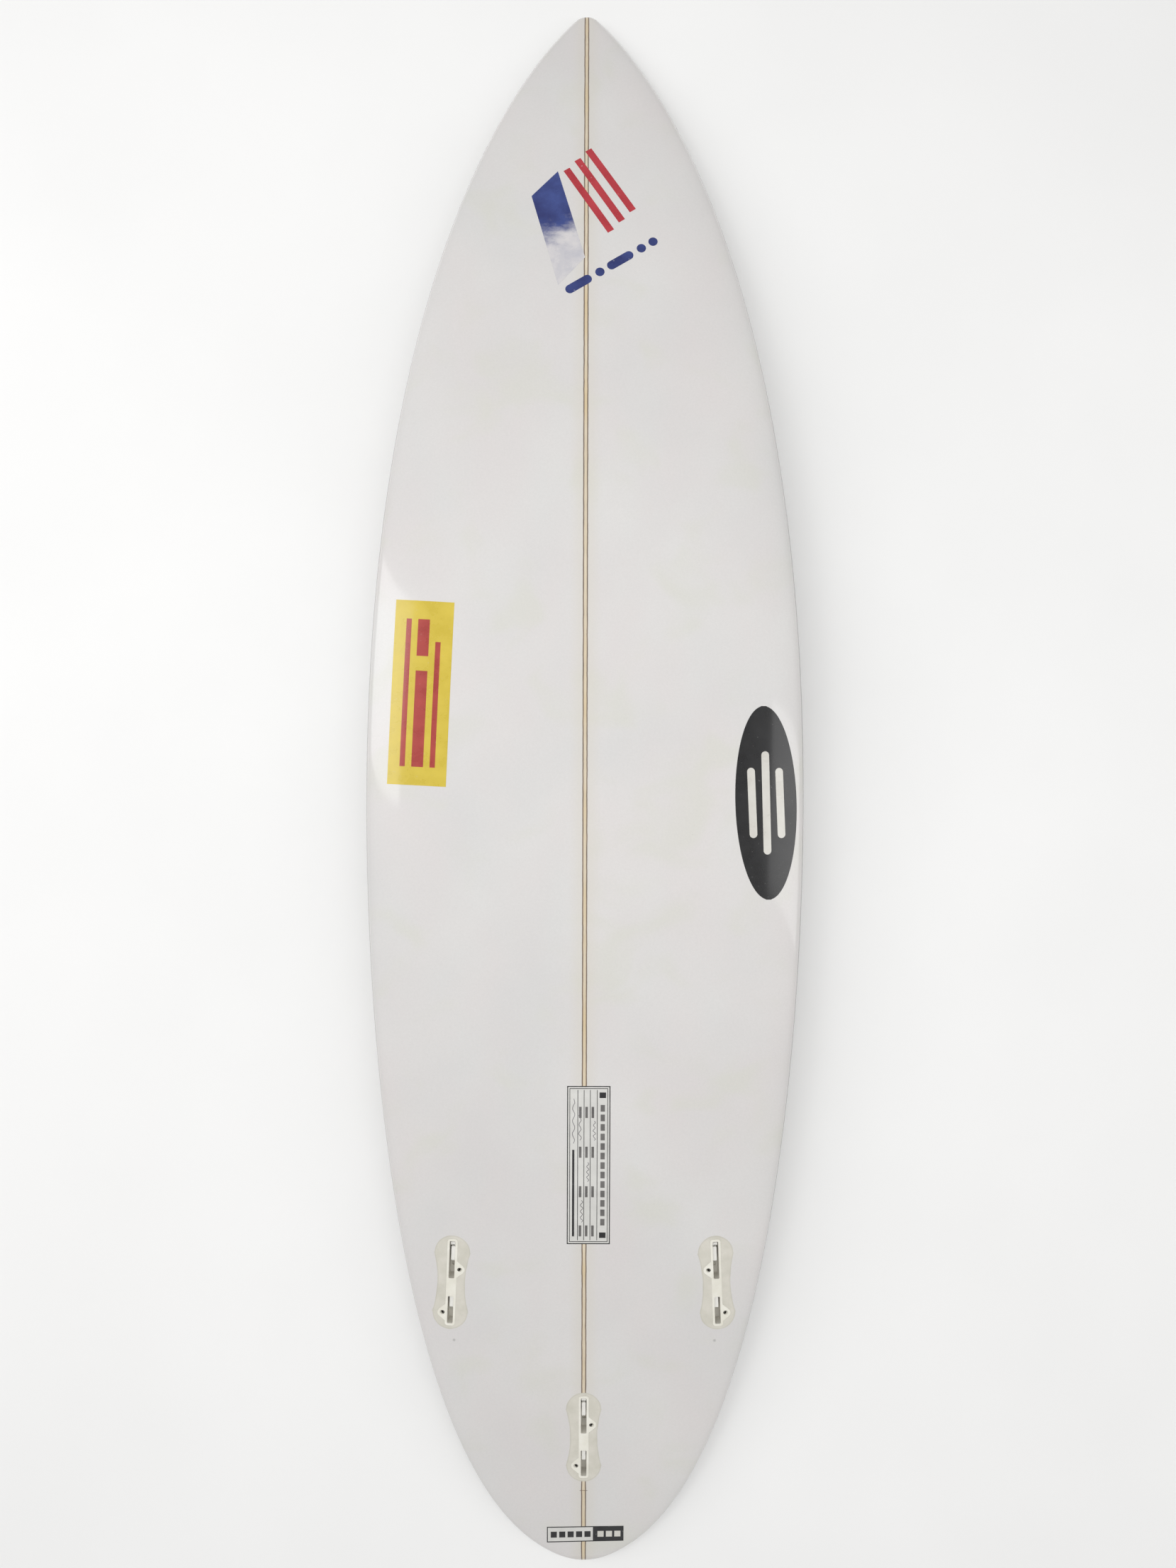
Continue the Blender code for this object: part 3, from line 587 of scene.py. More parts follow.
def box_distance(look, centre_x, centre_y, toe_degrees, mirrored):
    """How far a place is outside the hourglass of a fin core, in metres; negative inside."""
    toe = math.radians(toe_degrees)
    x = look.math("ABSOLUTE", look.x) if mirrored else look.x
    x = look.minus(x, centre_x)
    y = look.minus(look.y, centre_y)
    across = look.math("ADD", look.both(x, math.cos(toe)), look.both(y, math.sin(toe)))
    along = look.minus(look.both(y, math.cos(toe)), look.both(x, math.sin(toe)))
    across = look.math("ABSOLUTE", across)
    along = look.math("ABSOLUTE", along)
    radius = CORE_END_WIDTH / 2
    reach = PLUG_LENGTH / 2 + CORE_MARGIN - radius
    waist = CORE_WAIST_WIDTH / 2
    hollow = (waist**2 + reach**2 - radius**2) / (2 * (radius - waist))
    ahead = look.minus(along, reach)
    disc = look.minus(look.far(across, ahead), radius)
    inner = look.math("MAXIMUM", look.minus(hollow**2, look.both(along, along)), 0.0)
    inner = look.math("SQRT", inner)
    side = look.math("ADD", look.minus(across, waist + hollow), inner)
    neck = look.math("MAXIMUM", side, ahead)
    return look.math("MINIMUM", disc, neck)


def spot(look, x, y, radius, softness):
    """1 within a small disc at a place, and 0 outside it."""
    dx = look.minus(look.x, x)
    dy = look.minus(look.y, y)
    return look.step(look.far(dx, dy), radius + softness, radius - softness)


def bar_mask(look, value, centre, half, softness):
    """1 where a value is within a half width of the centre, and 0 outside it."""
    off = look.math("ABSOLUTE", look.minus(value, centre))
    return look.step(off, half + softness, half - softness)


def glassed_foam(name, bottom):
    """White foam under clear glass: faint tints and grain, cloth weave, wood line and cores; on the bottom,
    painted shade along the rails.
    """
    look = Look(name, roughness=0.42, coat=1.0, coat_roughness=0.07)
    flat = look.stretch(1, 1, 0.15)
    broad = look.noise(5.0, 3.0, 0.55, flat)
    tint = look.noise(9.0, 2.0, 0.6, look.stretch(1.3, 0.8, 0.2))
    grain = look.noise(420.0, 3.0, 0.7)
    colour = look.tones(broad, srgb(216, 215, 214), srgb(225, 224, 222))
    colour = look.mix(look.scaled(tint, 0.0, 0.5), colour, srgb(222, 215, 214))
    green = look.noise(14.0, 2.0, 0.5, look.stretch(0.9, 1.1, 0.3), 0.4)
    colour = look.mix(look.both(look.step(green, 0.52, 0.75), 0.55), colour, srgb(216, 216, 206))
    colour = look.mix(look.both(look.scaled(grain, 0.0, 1.0), 0.11), colour, srgb(182, 180, 178))

    centre = look.math("ABSOLUTE", look.x)
    wobble = look.swing(look.noise(60.0, 3.0, 0.6), 0.0009)
    line = look.math("ADD", centre, wobble)
    halo = look.both(look.step(line, 0.020, 0.002), 0.38)
    colour = look.mix(halo, colour, srgb(214, 208, 194))
    glue = look.step(line, 0.00300, 0.00255)
    glue_tone = look.noise(110.0, 3.0, 0.6, look.stretch(1, 0.4, 1))
    glue_colour = look.tones(glue_tone, srgb(86, 66, 50), srgb(126, 104, 84))
    colour = look.mix(look.both(glue, 0.92), colour, glue_colour)
    wood = look.step(line, 0.00164, 0.00132)
    fibre = look.noise(300.0, 4.0, 0.65, look.stretch(2.2, 0.06, 1.0), 0.6)
    wood_colour = look.tones(fibre, srgb(208, 192, 166), srgb(228, 216, 194))
    patch = look.noise(12.0, 2.0, 0.5, look.stretch(0.2, 1, 0.2))
    wood_colour = look.mix(look.step(patch, 0.45, 0.7), wood_colour, srgb(216, 196, 160))
    colour = look.mix(wood, colour, wood_colour)

    if bottom:
        rear = box_distance(look, 0.0, REAR_BOX_Y, 0.0, False)
        side = box_distance(look, SIDE_PLUG_FROM_CENTRE, SIDE_BOX_Y, SIDE_TOE_DEGREES, True)
        edge = look.math("MINIMUM", rear, side)
        core_noise = look.noise(70.0, 3.0, 0.6)
        edge = look.math("ADD", edge, look.swing(core_noise, 0.0012))
        inside = look.step(edge, 0.0007, -0.0005)
        core_colour = look.tones(core_noise, srgb(206, 203, 190), srgb(220, 216, 205))
        colour = look.mix(look.both(inside, 0.95), colour, core_colour)
        border = bar_mask(look, edge, -0.0004, 0.0003, 0.0009)
        colour = look.mix(look.both(border, 0.45), colour, srgb(176, 173, 160))
        tick_y = bar_mask(look, look.y, TICK_Y, 0.0004, 0.0004)
        tick = look.both(tick_y, bar_mask(look, look.x, 0.0, 0.0044, 0.0008))
        colour = look.mix(look.both(tick, 0.75), colour, srgb(112, 92, 78))
        for x in DOT_XS:
            dot = look.both(spot(look, x, DOT_Y, 0.0014, 0.0011), 0.5)
            colour = look.mix(dot, colour, srgb(140, 140, 138))

    speck = look.step(look.cells(26.0, look.stretch(1, 1, 0.2)), 0.030, 0.012)
    if bottom:
        # Painted shade: a grey band where the bottom turns down into the rails, darker on the right rail
        # than the left
        facing = look.tree.nodes.new("ShaderNodeSeparateXYZ")
        look.tree.links.new(look.normal, facing.inputs[0])
        up = facing.outputs[2]
        painted_rail_shade = look.minus(look.step(up, 0.72, 0.38), look.step(up, 0.14, -0.08))
        side = look.step(look.x, -0.05, 0.05)
        painted_rail_shade = look.both(painted_rail_shade, look.math("ADD", look.both(side, 0.34), 0.56))
        colour = look.mix(painted_rail_shade, colour, srgb(70, 69, 68))
    rare = look.step(look.noise(16.0, 1.0, 0.5), 0.60, 0.66)
    colour = look.mix(look.both(look.both(speck, rare), 0.5), colour, srgb(150, 138, 122))
    look.colour(colour)

    weave_x = look.math("SINE", look.both(look.x, 2 * math.pi / 0.0016))
    weave_y = look.math("SINE", look.both(look.y, 2 * math.pi / 0.0016))
    weave = look.both(weave_x, weave_y)
    look.bump(weave, 0.10, 0.00002)
    ripple = look.noise(22.0, 2.0, 0.5, flat)
    look.bump(ripple, 0.25, 0.0008)
    smear = look.noise(7.0, 4.0, 0.65, look.stretch(1.2, 0.5, 0.3), 0.8)
    look.roughness(look.scaled(smear, 0.34, 0.50))
    return look.made


def foam_look():
    look = Look("blank foam", roughness=0.9)
    cell = look.cells(900.0)
    broad = look.noise(14.0, 3.0)
    colour = look.tones(broad, srgb(232, 228, 216), srgb(240, 238, 230))
    look.colour(look.mix(look.both(look.step(cell, 0.45, 0.1), 0.25), colour, srgb(205, 200, 186)))
    look.bump(cell, 0.4, 0.0003)
    return look.made


def wood_look():
    look = Look("stringer wood", roughness=0.6)
    fibre = look.noise(260.0, 5.0, 0.65, look.stretch(2.0, 0.05, 1.4), 0.7)
    ring = look.noise(40.0, 2.0, 0.5, look.stretch(1, 0.15, 3))
    colour = look.tones(fibre, srgb(190, 158, 112), srgb(226, 202, 160))
    look.colour(look.mix(look.both(look.step(ring, 0.48, 0.6), 0.35), colour, srgb(160, 122, 78)))
    look.bump(fibre, 0.3, 0.0002)
    return look.made


def glue_look():
    look = Look("glue", roughness=0.5)
    tone = look.noise(90.0, 3.0, 0.6)
    look.colour(look.tones(tone, srgb(92, 66, 42), srgb(132, 102, 72)))
    look.bump(tone, 0.3, 0.0002)
    return look.made


def core_look():
    look = Look("core foam", roughness=0.75)
    cell = look.cells(1200.0)
    tone = look.noise(60.0, 3.0, 0.6)
    colour = look.tones(tone, srgb(196, 193, 180), srgb(214, 211, 200))
    look.colour(look.mix(look.both(look.step(cell, 0.4, 0.1), 0.2), colour, srgb(168, 164, 150)))
    look.bump(cell, 0.3, 0.0002)
    return look.made


def plastic_look(name, dark, light, roughness, coat):
    """Moulded plastic: a slow change of tone, sanding marks along Y and a fine grain."""
    look = Look(name, roughness=roughness, coat=coat, coat_roughness=0.12)
    tone = look.noise(55.0, 3.0, 0.6)
    scratch = look.noise(700.0, 3.0, 0.7, look.stretch(2.0, 0.12, 1.0), 0.3)
    colour = look.tones(tone, dark, light)
    look.colour(look.mix(look.both(look.step(scratch, 0.56, 0.72), 0.16), colour, dark))
    look.roughness(look.scaled(scratch, roughness - 0.07, roughness + 0.10))
    look.bump(look.noise(1500.0, 2.0, 0.6), 0.12, 0.00006)
    look.bump(scratch, 0.10, 0.00005)
    return look.made


def steel_look(name, dark, light, roughness):
    look = Look(name, roughness=roughness, metallic=1.0)
    brushed = look.noise(1400.0, 3.0, 0.7, look.stretch(0.15, 1.0, 1.0))
    stain = look.noise(400.0, 3.0, 0.6)
    colour = look.tones(brushed, dark, light)
    look.colour(look.mix(look.both(look.step(stain, 0.55, 0.7), 0.35), colour, srgb(120, 108, 92)))
    look.roughness(look.scaled(brushed, roughness - 0.06, roughness + 0.10))
    look.bump(brushed, 0.10, 0.00004)
    return look.made


def ink_look(name, dark, light, roughness=0.28, coat=0.8, wear=0.35, under=(0.72, 0.71, 0.69)):
    """Printed film or ink: faint mottling, orange peel and a few tiny worn specks."""
    look = Look(name, roughness=roughness, coat=coat, coat_roughness=0.10)
    tone = look.noise(45.0, 4.0, 0.6)
    fine = look.noise(900.0, 2.0, 0.6)
    colour = look.tones(tone, dark, light)
    colour = look.mix(look.both(look.step(fine, 0.5, 0.75), 0.12), colour, light)
    worn = look.both(look.step(look.noise(260.0, 2.0, 0.5), 0.70, 0.76), wear)
    look.colour(look.mix(worn, colour, under))
    look.roughness(look.scaled(tone, roughness - 0.05, roughness + 0.08))
    look.bump(look.noise(320.0, 2.0, 0.5), 0.15, 0.00008)
    return look.made


def foil_blue_look():
    """Dark blue foil with a painted lamp reflection that turns its back end pale, with a soft ragged edge.
    """
    look = Look("blue foil", roughness=0.25, coat=1.0, coat_roughness=0.08)
    tone = look.noise(45.0, 4.0, 0.6)
    blue = look.tones(tone, srgb(34, 46, 108), srgb(56, 74, 140))
    # Painted reflection: the pale back part of the foil stands in for a lamp's glare on the glossy film
    slant = look.minus(look.y, look.both(look.x, 0.35))
    ragged = look.swing(look.noise(55.0, 4.0, 0.65, look.stretch(0.7, 1.3, 0.3)), 0.055)
    pale = look.step(look.math("ADD", slant, ragged), 0.640, 0.606)
    glare_colour = look.tones(tone, srgb(196, 196, 204), srgb(226, 222, 220))
    look.colour(look.mix(look.both(pale, 0.92), blue, glare_colour))
    look.roughness(look.scaled(tone, 0.20, 0.32))
    look.bump(look.noise(320.0, 2.0, 0.5), 0.15, 0.00008)
    return look.made


def floor_look():
    look = Look("studio floor", roughness=0.85)
    tone = look.noise(3.0, 3.0, 0.5)
    look.colour(look.tones(tone, (0.90, 0.90, 0.895), (0.93, 0.93, 0.925)))
    look.bump(look.noise(160.0, 3.0, 0.6), 0.05, 0.0005)
    return look.made


LOOKS = {
    "bottom": glassed_foam("glassed bottom", True),
    "deck": glassed_foam("glassed deck", False),
    "foam": foam_look(),
    "wood": wood_look(),
    "glue": glue_look(),
    "core": core_look(),
    "plug": plastic_look("plug plastic", srgb(228, 225, 212), srgb(242, 240, 230), 0.34, 0.5),
    # Painted shade: the slots' plastic is a darker grey than the plug face it is moulded with
    "slot": plastic_look("slot plastic painted shade", srgb(206, 203, 194), srgb(226, 223, 214), 0.45, 0.2),
    # Near-white ledge plastic: partly the ledge's own pale colour, partly a painted glint in the slots
    "ledge": plastic_look("ledge plastic painted glint", srgb(246, 245, 240), srgb(253, 252, 248), 0.25, 0.6),
    "steel": steel_look("screw steel", srgb(118, 116, 112), srgb(168, 166, 160), 0.34),
    "pin": steel_look("pin steel", srgb(176, 174, 170), srgb(214, 212, 208), 0.24),
    "nylon": plastic_look("roller nylon", srgb(236, 235, 230), srgb(248, 247, 243), 0.38, 0.2),
    "blue": ink_look("blue print", srgb(30, 40, 98), srgb(52, 66, 128)),
    "foil": foil_blue_look(),
    "red": ink_look("red print", srgb(168, 38, 50), srgb(190, 56, 66)),
    "yellow": ink_look("yellow vinyl", srgb(204, 180, 48), srgb(216, 192, 62), wear=0.14),
    "brick": ink_look("brick red ink", srgb(160, 48, 42), srgb(178, 62, 54), wear=0.12),
    "black": ink_look("black vinyl", srgb(16, 16, 18), srgb(30, 30, 32), wear=0.10),
    "cream": ink_look("cream ink", srgb(206, 203, 195), srgb(218, 216, 209), wear=0.0),
    "paper": ink_look("label film", srgb(208, 207, 203), srgb(222, 221, 217), 0.34, 0.8, 0.0),
    "ink": ink_look("label ink", srgb(28, 28, 30), srgb(48, 48, 50), 0.34, 0.8, 0.15),
    "grey": ink_look("label grey ink", srgb(92, 90, 89), srgb(118, 116, 114), 0.34, 0.8, 0.2),
    "pencil": ink_look("pencil", srgb(96, 94, 96), srgb(140, 138, 140), 0.5, 0.6, 0.6),
    "floor": floor_look(),
}


# ---------------------------------------------------------------- skins


def skin(name, first_turn, last_turn, seam_shift, look):
    """A closed shell of glass between the rails' widest lines, and a lookup of its true normals."""
    steps = 2 * HALF_STEPS
    turns = [first_turn + (last_turn - first_turn) * k / steps for k in range(steps + 1)]
    outer, inner, normals = [], [], []
    for station in range(STATIONS + 1):
        s = -1 + 2 * station / STATIONS
        row = [surface_frame(s, turn) for turn in (turns[:1] if station in (0, STATIONS) else turns)]
        for _, normal in (row[0], row[-1]):
            normal.z = 0.0
            normal.normalize()
        shift = Vector((0, 0, seam_shift))
        shifts = [shift] + [Vector()] * (len(row) - 2) + [shift]
        outer.append([point + move for (point, _), move in zip(row, shifts)])
        inner.append([point - GLASS * normal for point, normal in row])
        normals.append([normal for _, normal in row])
    made = bmesh.new()
    outer_verts = grid_verts(made, outer)
    inner_verts = grid_verts(made, inner)
    join_rows(made, outer_verts)
    join_rows(made, inner_verts)
    for edge in (0, -1):
        for station in range(STATIONS):
            add_face(
                made,
                outer_verts[station][edge],
                outer_verts[station + 1][edge],
                inner_verts[station + 1][edge],
                inner_verts[station][edge],
            )
    return finish_mesh(name, made, [look]), outer, normals


def true_normals(obj, outer, normals):
    """Gives the outer faces the surface's exact normals, so that reflections run smoothly."""
    points, directions, faces = [], [], []
    index = []
    for row, row_normals in zip(outer, normals):
        index.append(range(len(points), len(points) + len(row)))
        points += row
        directions += row_normals
    for near, far in zip(index, index[1:]):
        count = max(len(near), len(far))
        for k in range(count - 1):
            a, b = near[k % len(near)], near[(k + 1) % len(near)]
            c, d = far[(k + 1) % len(far)], far[k % len(far)]
            faces.append(tuple(dict.fromkeys((a, b, c, d))))
    tree = BVHTree.FromPolygons([tuple(p) for p in points], faces)
    mesh = obj.data
    flat = [tuple(c.vector) for c in mesh.corner_normals]
    found = {}
    for polygon in mesh.polygons:
        for corner in polygon.loop_indices:
            vertex = mesh.loops[corner].vertex_index
            if vertex not in found:
                place = mesh.vertices[vertex].co
                nearest, _, face, far = tree.find_nearest(place)
                found[vertex] = None
                if far is not None and far < ON_SURFACE:
                    corners = faces[face]
                    weights = poly_3d_calc([points[c] for c in corners], nearest)
                    total = Vector()
                    for weight, c in zip(weights, corners):
                        total += weight * directions[c]
                    found[vertex] = total.normalized()
            normal = found[vertex]
            if normal is not None and normal.dot(polygon.normal) > 0.8:
                flat[corner] = tuple(normal)
            else:
                flat[corner] = tuple(polygon.normal)
    mesh.normals_split_custom_set(flat)


# ---------------------------------------------------------------- fin boxes


def fin_box_matrix(x, y, toe_degrees):
    normal = bottom_normal(x, y)
    toe = math.radians(toe_degrees)
    forward = Vector((-math.copysign(math.sin(toe), x), math.cos(toe), 0))
    forward = (forward - forward.dot(normal) * normal).normalized()
    right = forward.cross(normal)
    matrix = Matrix((right, forward, normal)).transposed().to_4x4()
    matrix.translation = bottom_point(x, y) - PLUG_SINK * normal
    return matrix


def lug_places(side):
    front = (side * LUG_OFFSET, PLUG_LENGTH / 2 - FRONT_LUG_FROM_FRONT)
    rear = (-side * LUG_OFFSET, REAR_LUG_FROM_REAR - PLUG_LENGTH / 2)
    return front, rear


def slot_places():
    front = PLUG_LENGTH / 2 - SLOT_END_LAND - FRONT_SLOT_LENGTH / 2
    rear = SLOT_END_LAND + REAR_SLOT_LENGTH / 2 - PLUG_LENGTH / 2
    return (FRONT_SLOT_LENGTH, front), (REAR_SLOT_LENGTH, rear)


def lug_outline(where, grow):
    """An ear on the side of the plug: a disc round the screw, with flanks that run to the body."""
    side = math.copysign(1, where[0])
    radius = LUG_RADIUS + grow
    root_x = side * LUG_ROOT
    root_y = LUG_REACH + grow
    reach = LUG_OFFSET - LUG_ROOT
    swing = math.atan2(root_y, -reach) - math.acos(radius / math.hypot(reach, root_y))
    ear = arc((0, 0), radius, -swing, swing, 24)
    outline = [(where[0] + side * x, where[1] + y) for x, y in ear]
    outline += [(root_x, where[1] + root_y), (root_x, where[1] - root_y)]
    return outline if side > 0 else outline[::-1]


def plug_body(name, side, grow, low_body, low_lug, top, looks):
    outline = rounded_rectangle(PLUG_LENGTH + 2 * grow, PLUG_WIDTH + 2 * grow, PLUG_CORNER + grow, 0)
    body = finish_mesh(name, prism(outline, low_body, top), looks)
    lugs = [
        finish_mesh(f"{name}_lug_{k}", prism(lug_outline(where, grow), low_lug, top), looks)
        for k, where in enumerate(lug_places(side))
    ]
    cut(body, lugs, "UNION")
    return body


def screw_matrix(where):
    slant = Matrix.Rotation(math.copysign(math.radians(SCREW_TILT_DEGREES), where[0]), 4, "Y")
    return Matrix.Translation((where[0], where[1], 0)) @ slant


def soften(obj, width, degrees=40, segments=2):
    step = obj.modifiers.new("soft edges", "BEVEL")
    step.width = width
    step.segments = segments
    step.limit_method = "ANGLE"
    step.angle_limit = math.radians(degrees)
    step.harden_normals = False
    apply_modifiers(obj)


def fin_plug(which, side, matrix):
    """The moulded plug, with its two slots and its two screw holes."""
    name = f"{which}_fin_plug"
    plug = plug_body(name, side, PLUG_SWELL, -PLUG_DEPTH, -LUG_DEPTH, PLUG_SINK * 0.4, [LOOKS["plug"]])
    above = 0.004
    tools = []
    for which_slot, (length, centre) in zip(("front", "rear"), slot_places()):
        outline = rounded_rectangle(length, SLOT_WIDTH, SLOT_CORNER, centre)
        tools.append(finish_mesh(f"{name}_{which_slot}_slot", prism(outline, -SLOT_DEPTH, above), []))
    reach = LUG_OFFSET / math.sin(math.radians(SCREW_TILT_DEGREES))
    for end, where in zip(("front", "rear"), lug_places(side)):
        hole = prism(circle(SCREW_RADIUS + 0.0002, FINE), -reach, above)
        tool = finish_mesh(f"{name}_{end}_hole", hole, [])
        place_mesh(tool, screw_matrix(where))
        tools.append(tool)
    cut(plug, tools)
    soften(plug, 0.00022)
    # The faces inside the slots get the darker plastic: painted shade in the recesses
    plug.data.materials.append(LOOKS["slot"])
    for polygon in plug.data.polygons:
        centre = polygon.center
        if centre.z < -0.0012 and abs(centre.x) < SLOT_WIDTH / 2 + 0.0001:
            polygon.material_index = 1
    plug.data.shade_smooth()
    plug.data.set_sharp_from_angle(angle=math.radians(30))
    place_mesh(plug, matrix)
    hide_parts(f"fin_plug_{which}")
    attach(plug, BOARD)


def slot_ledges(which, matrix, lean):
    """The pale smooth ledge in the front part of each slot, set a little to one side; its near-white colour
    is partly a painted glint.
    """
    made = bmesh.new()
    for (length, centre), (start, end) in zip(slot_places(), LEDGE_SPANS):
        front = centre + length / 2
        low, high = front - end, front - start
        ring = rounded_rectangle(high - low, LEDGE_WIDTH, LEDGE_CORNER, (low + high) / 2)
        ring = [(x + lean, y) for x, y in ring]
        shell = prism(ring, -SLOT_DEPTH - 0.0002, LEDGE_TOP)
        mesh = bpy.data.meshes.new("ledge")
        shell.to_mesh(mesh)
        shell.free()
        made.from_mesh(mesh)
        bpy.data.meshes.remove(mesh)
    piece = finish_mesh(f"{which}_slot_ledges", made, [LOOKS["ledge"]])
    soften(piece, 0.0003)
    place_mesh(piece, matrix)
    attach(piece, BOARD)


def grub_screw(which, end, where, matrix):
    """A headless screw: threads as close rings, a chamfered face and a hexagon socket."""
    pitch = 0.0007
    root = SCREW_RADIUS - 0.00022
    top = -SCREW_RECESS
    bottom = top - SCREW_LENGTH
    profile = [(0.0, top), (root - 0.0002, top), (root, top - 0.0002)]
    height = top - 0.0003
    while height - pitch > bottom + 0.0009:
        profile += [(root, height), (SCREW_RADIUS, height - 0.3 * pitch)]
        profile += [(SCREW_RADIUS, height - 0.45 * pitch), (root, height - 0.75 * pitch)]
        height -= pitch
    profile += [(root, bottom + 0.0007), (root * 0.55, bottom), (0.0, bottom)]
    name = f"{which}_{end}_grub_screw"
    screw = lathe(name, profile, [LOOKS["steel"]])
    hexagon = prism(circle(SCREW_SOCKET_RADIUS, 6), top - SCREW_SOCKET_DEPTH, 0.001)
    cut(screw, [finish_mesh(f"{name}_socket", hexagon, [])])
    screw.data.shade_smooth()
    screw.data.set_sharp_from_angle(angle=math.radians(25))
    place_mesh(screw, matrix @ screw_matrix(where))
    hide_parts(f"grub_screw_{which}_{end}")
    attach(screw, f"grub_screw_{which}_{end}")


def roller(which, matrix):
    """A grooved nylon roller on its steel bar."""
    front = PLUG_LENGTH / 2 - SLOT_END_LAND - ROLLER_FROM_SLOT_END
    across = Matrix.Translation((0, front, -ROLLER_BELOW_FACE)) @ Matrix.Rotation(QUARTER_TURN, 4, "Y")
    half = ROLLER_WIDTH / 2
    bore = BAR_RADIUS + 0.0003
    outside = [(-half, ROLLER_RADIUS - 0.0004), (-half + 0.0004, ROLLER_RADIUS), (-0.0007, ROLLER_RADIUS)]
    outside += [(-0.0004, ROLLER_RADIUS - 0.0002), (0.0004, ROLLER_RADIUS - 0.0002), (0.0007, ROLLER_RADIUS)]
    outside += [(half - 0.0004, ROLLER_RADIUS), (half, ROLLER_RADIUS - 0.0004)]
    made = bmesh.new()
    ring = [(bore, -half)] + [(radius, height) for height, radius in outside] + [(bore, half)]
    rows = grid_verts(made, turned_rows(ring, FINE))
    join_rows(made, rows + rows[:1], closed=True)
    piece = finish_mesh(f"{which}_roller", made, [LOOKS["nylon"]])
    place_mesh(piece, matrix @ across)
    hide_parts(f"fin_roller_{which}")
    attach(piece, f"fin_roller_{which}")
    end = BAR_LENGTH / 2
    small = BAR_RADIUS - 0.0002
    profile = [(0.0, -end), (small, -end), (BAR_RADIUS, -end + 0.0002), (BAR_RADIUS, end - 0.0002)]
    profile += [(small, end), (0.0, end)]
    bar = lathe(f"{which}_roller_bar", profile, [LOOKS["pin"]], 32)
    place_mesh(bar, matrix @ across)
    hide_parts(f"fin_roller_{which}_bar")
    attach(bar, f"fin_roller_{which}")


# ---------------------------------------------------------------- leash cup


def leash_cup_matrix():
    y = TAIL_Y + CUP_FROM_TAIL
    ahead = section_point(y + TINY, 2) - section_point(y - TINY, 2)
    forward = ahead.normalized()
    right = Vector((-1, 0, 0))
    normal = right.cross(forward)
    matrix = Matrix((right, forward, normal)).transposed().to_4x4()
    matrix.translation = section_point(y, 2)
    return matrix


def leash_cup(matrix):
    inner = CUP_RADIUS - CUP_WALL
    floor = CUP_FLOOR - CUP_DEPTH
    outer = CUP_RADIUS + PLUG_SWELL
    profile = [(0.0, -CUP_DEPTH), (outer - 0.001, -CUP_DEPTH), (outer, -CUP_DEPTH + 0.001), (outer, -0.0001)]
    profile += [(outer - 0.0001, 0.0), (inner + 0.0009, 0.0)]
    profile += [(inner + 0.00045, -0.00012), (inner + 0.00012, -0.00045)]
    profile += [(inner, -0.0009), (inner, floor + 0.0016), (inner - 0.00025, floor + 0.0008)]
    profile += [(inner - 0.0008, floor + 0.00025), (inner - 0.0016, floor), (0.0, floor)]
    cup = lathe("leash_cup_moulding", profile, [LOOKS["plug"]], 96)
    place_mesh(cup, matrix)
    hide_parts("leash_cup")
    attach(cup, BOARD)
    half = inner + CUP_PIN_SOCKET
    profile = [(0.0, -half), (CUP_PIN_RADIUS, -half), (CUP_PIN_RADIUS, half), (0.0, half)]
    pin = lathe("leash_cup_pin", profile, [LOOKS["pin"]])
    across = Matrix.Translation((0, 0, -CUP_PIN_BELOW_RIM)) @ Matrix.Rotation(QUARTER_TURN, 4, "Y")
    place_mesh(pin, matrix @ across)
    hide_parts("leash_pin")
    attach(pin, BOARD)


# ---------------------------------------------------------------- prints and stickers


def between(a, b, share):
    return tuple(p + (q - p) * share for p, q in zip(a, b))


def patch_guide(corners):
    back_left, back_right, front_left, front_right = corners

    def place(across, along):
        back = between(back_left, back_right, across)
        return between(back, between(front_left, front_right, across), along)

    return place


def window(guide, low_across, low_along, high_across, high_along):
    """The part of a guide between two places in it, as a guide of its own."""

    def place(across, along):
        u = low_across + (high_across - low_across) * across
        v = low_along + (high_along - low_along) * along
        return guide(u, v)

    return place


def capsule_guide(start, end, width):
    """A bar with round ends between two places; where they are the same it is a disc."""
    run = Vector(end) - Vector(start)
    length = run.length + width
    run = run.normalized() if run.length else Vector((0, 1))
    side = Vector((run.y, -run.x))
    radius = width / 2

    def place(across, along):
        turn = math.pi * along
        go = (1 - math.cos(turn)) / 2 * length - radius
        past = max(0.0, -go, go - (length - width))
        half = math.sqrt(max(radius * radius * 0.0025, radius * radius - past * past))
        return tuple(Vector(start) + run * go + side * half * (2 * across - 1))

    return place


def ribbon_guide(points, width):
    """A stroke of one width along a row of places."""
    places = [Vector(point) for point in points]

    def place(across, along):
        go = along * (len(places) - 1)
        k = min(int(go), len(places) - 2)
        here = places[k].lerp(places[k + 1], go - k)
        before = places[max(k - 1, 0)]
        after = places[min(k + 2, len(places) - 1)]
        run = (after - before).normalized()
        return tuple(here + Vector((run.y, -run.x)) * width * (across - 0.5))

    return place


def oval_guide(tail, nose, width, end):
    def place(across, along):
        turn = math.pi * along
        wide = max(end, width * math.sin(turn))
        x, y = between(tail, nose, (1 - math.cos(turn)) / 2)
        return x + (across - 0.5) * wide, y

    return place


def stripe_guide(number):
    front, back = (Vector(end) + number * Vector(STRIPE_STEP) for end in (STRIPE_FRONT, STRIPE_BACK))
    run = (front - back).normalized()
    side = Vector((run.y, -run.x))

    def place(across, along):
        return tuple(back.lerp(front, along) + side * STRIPE_WIDTH * (across - 0.5))

    return place


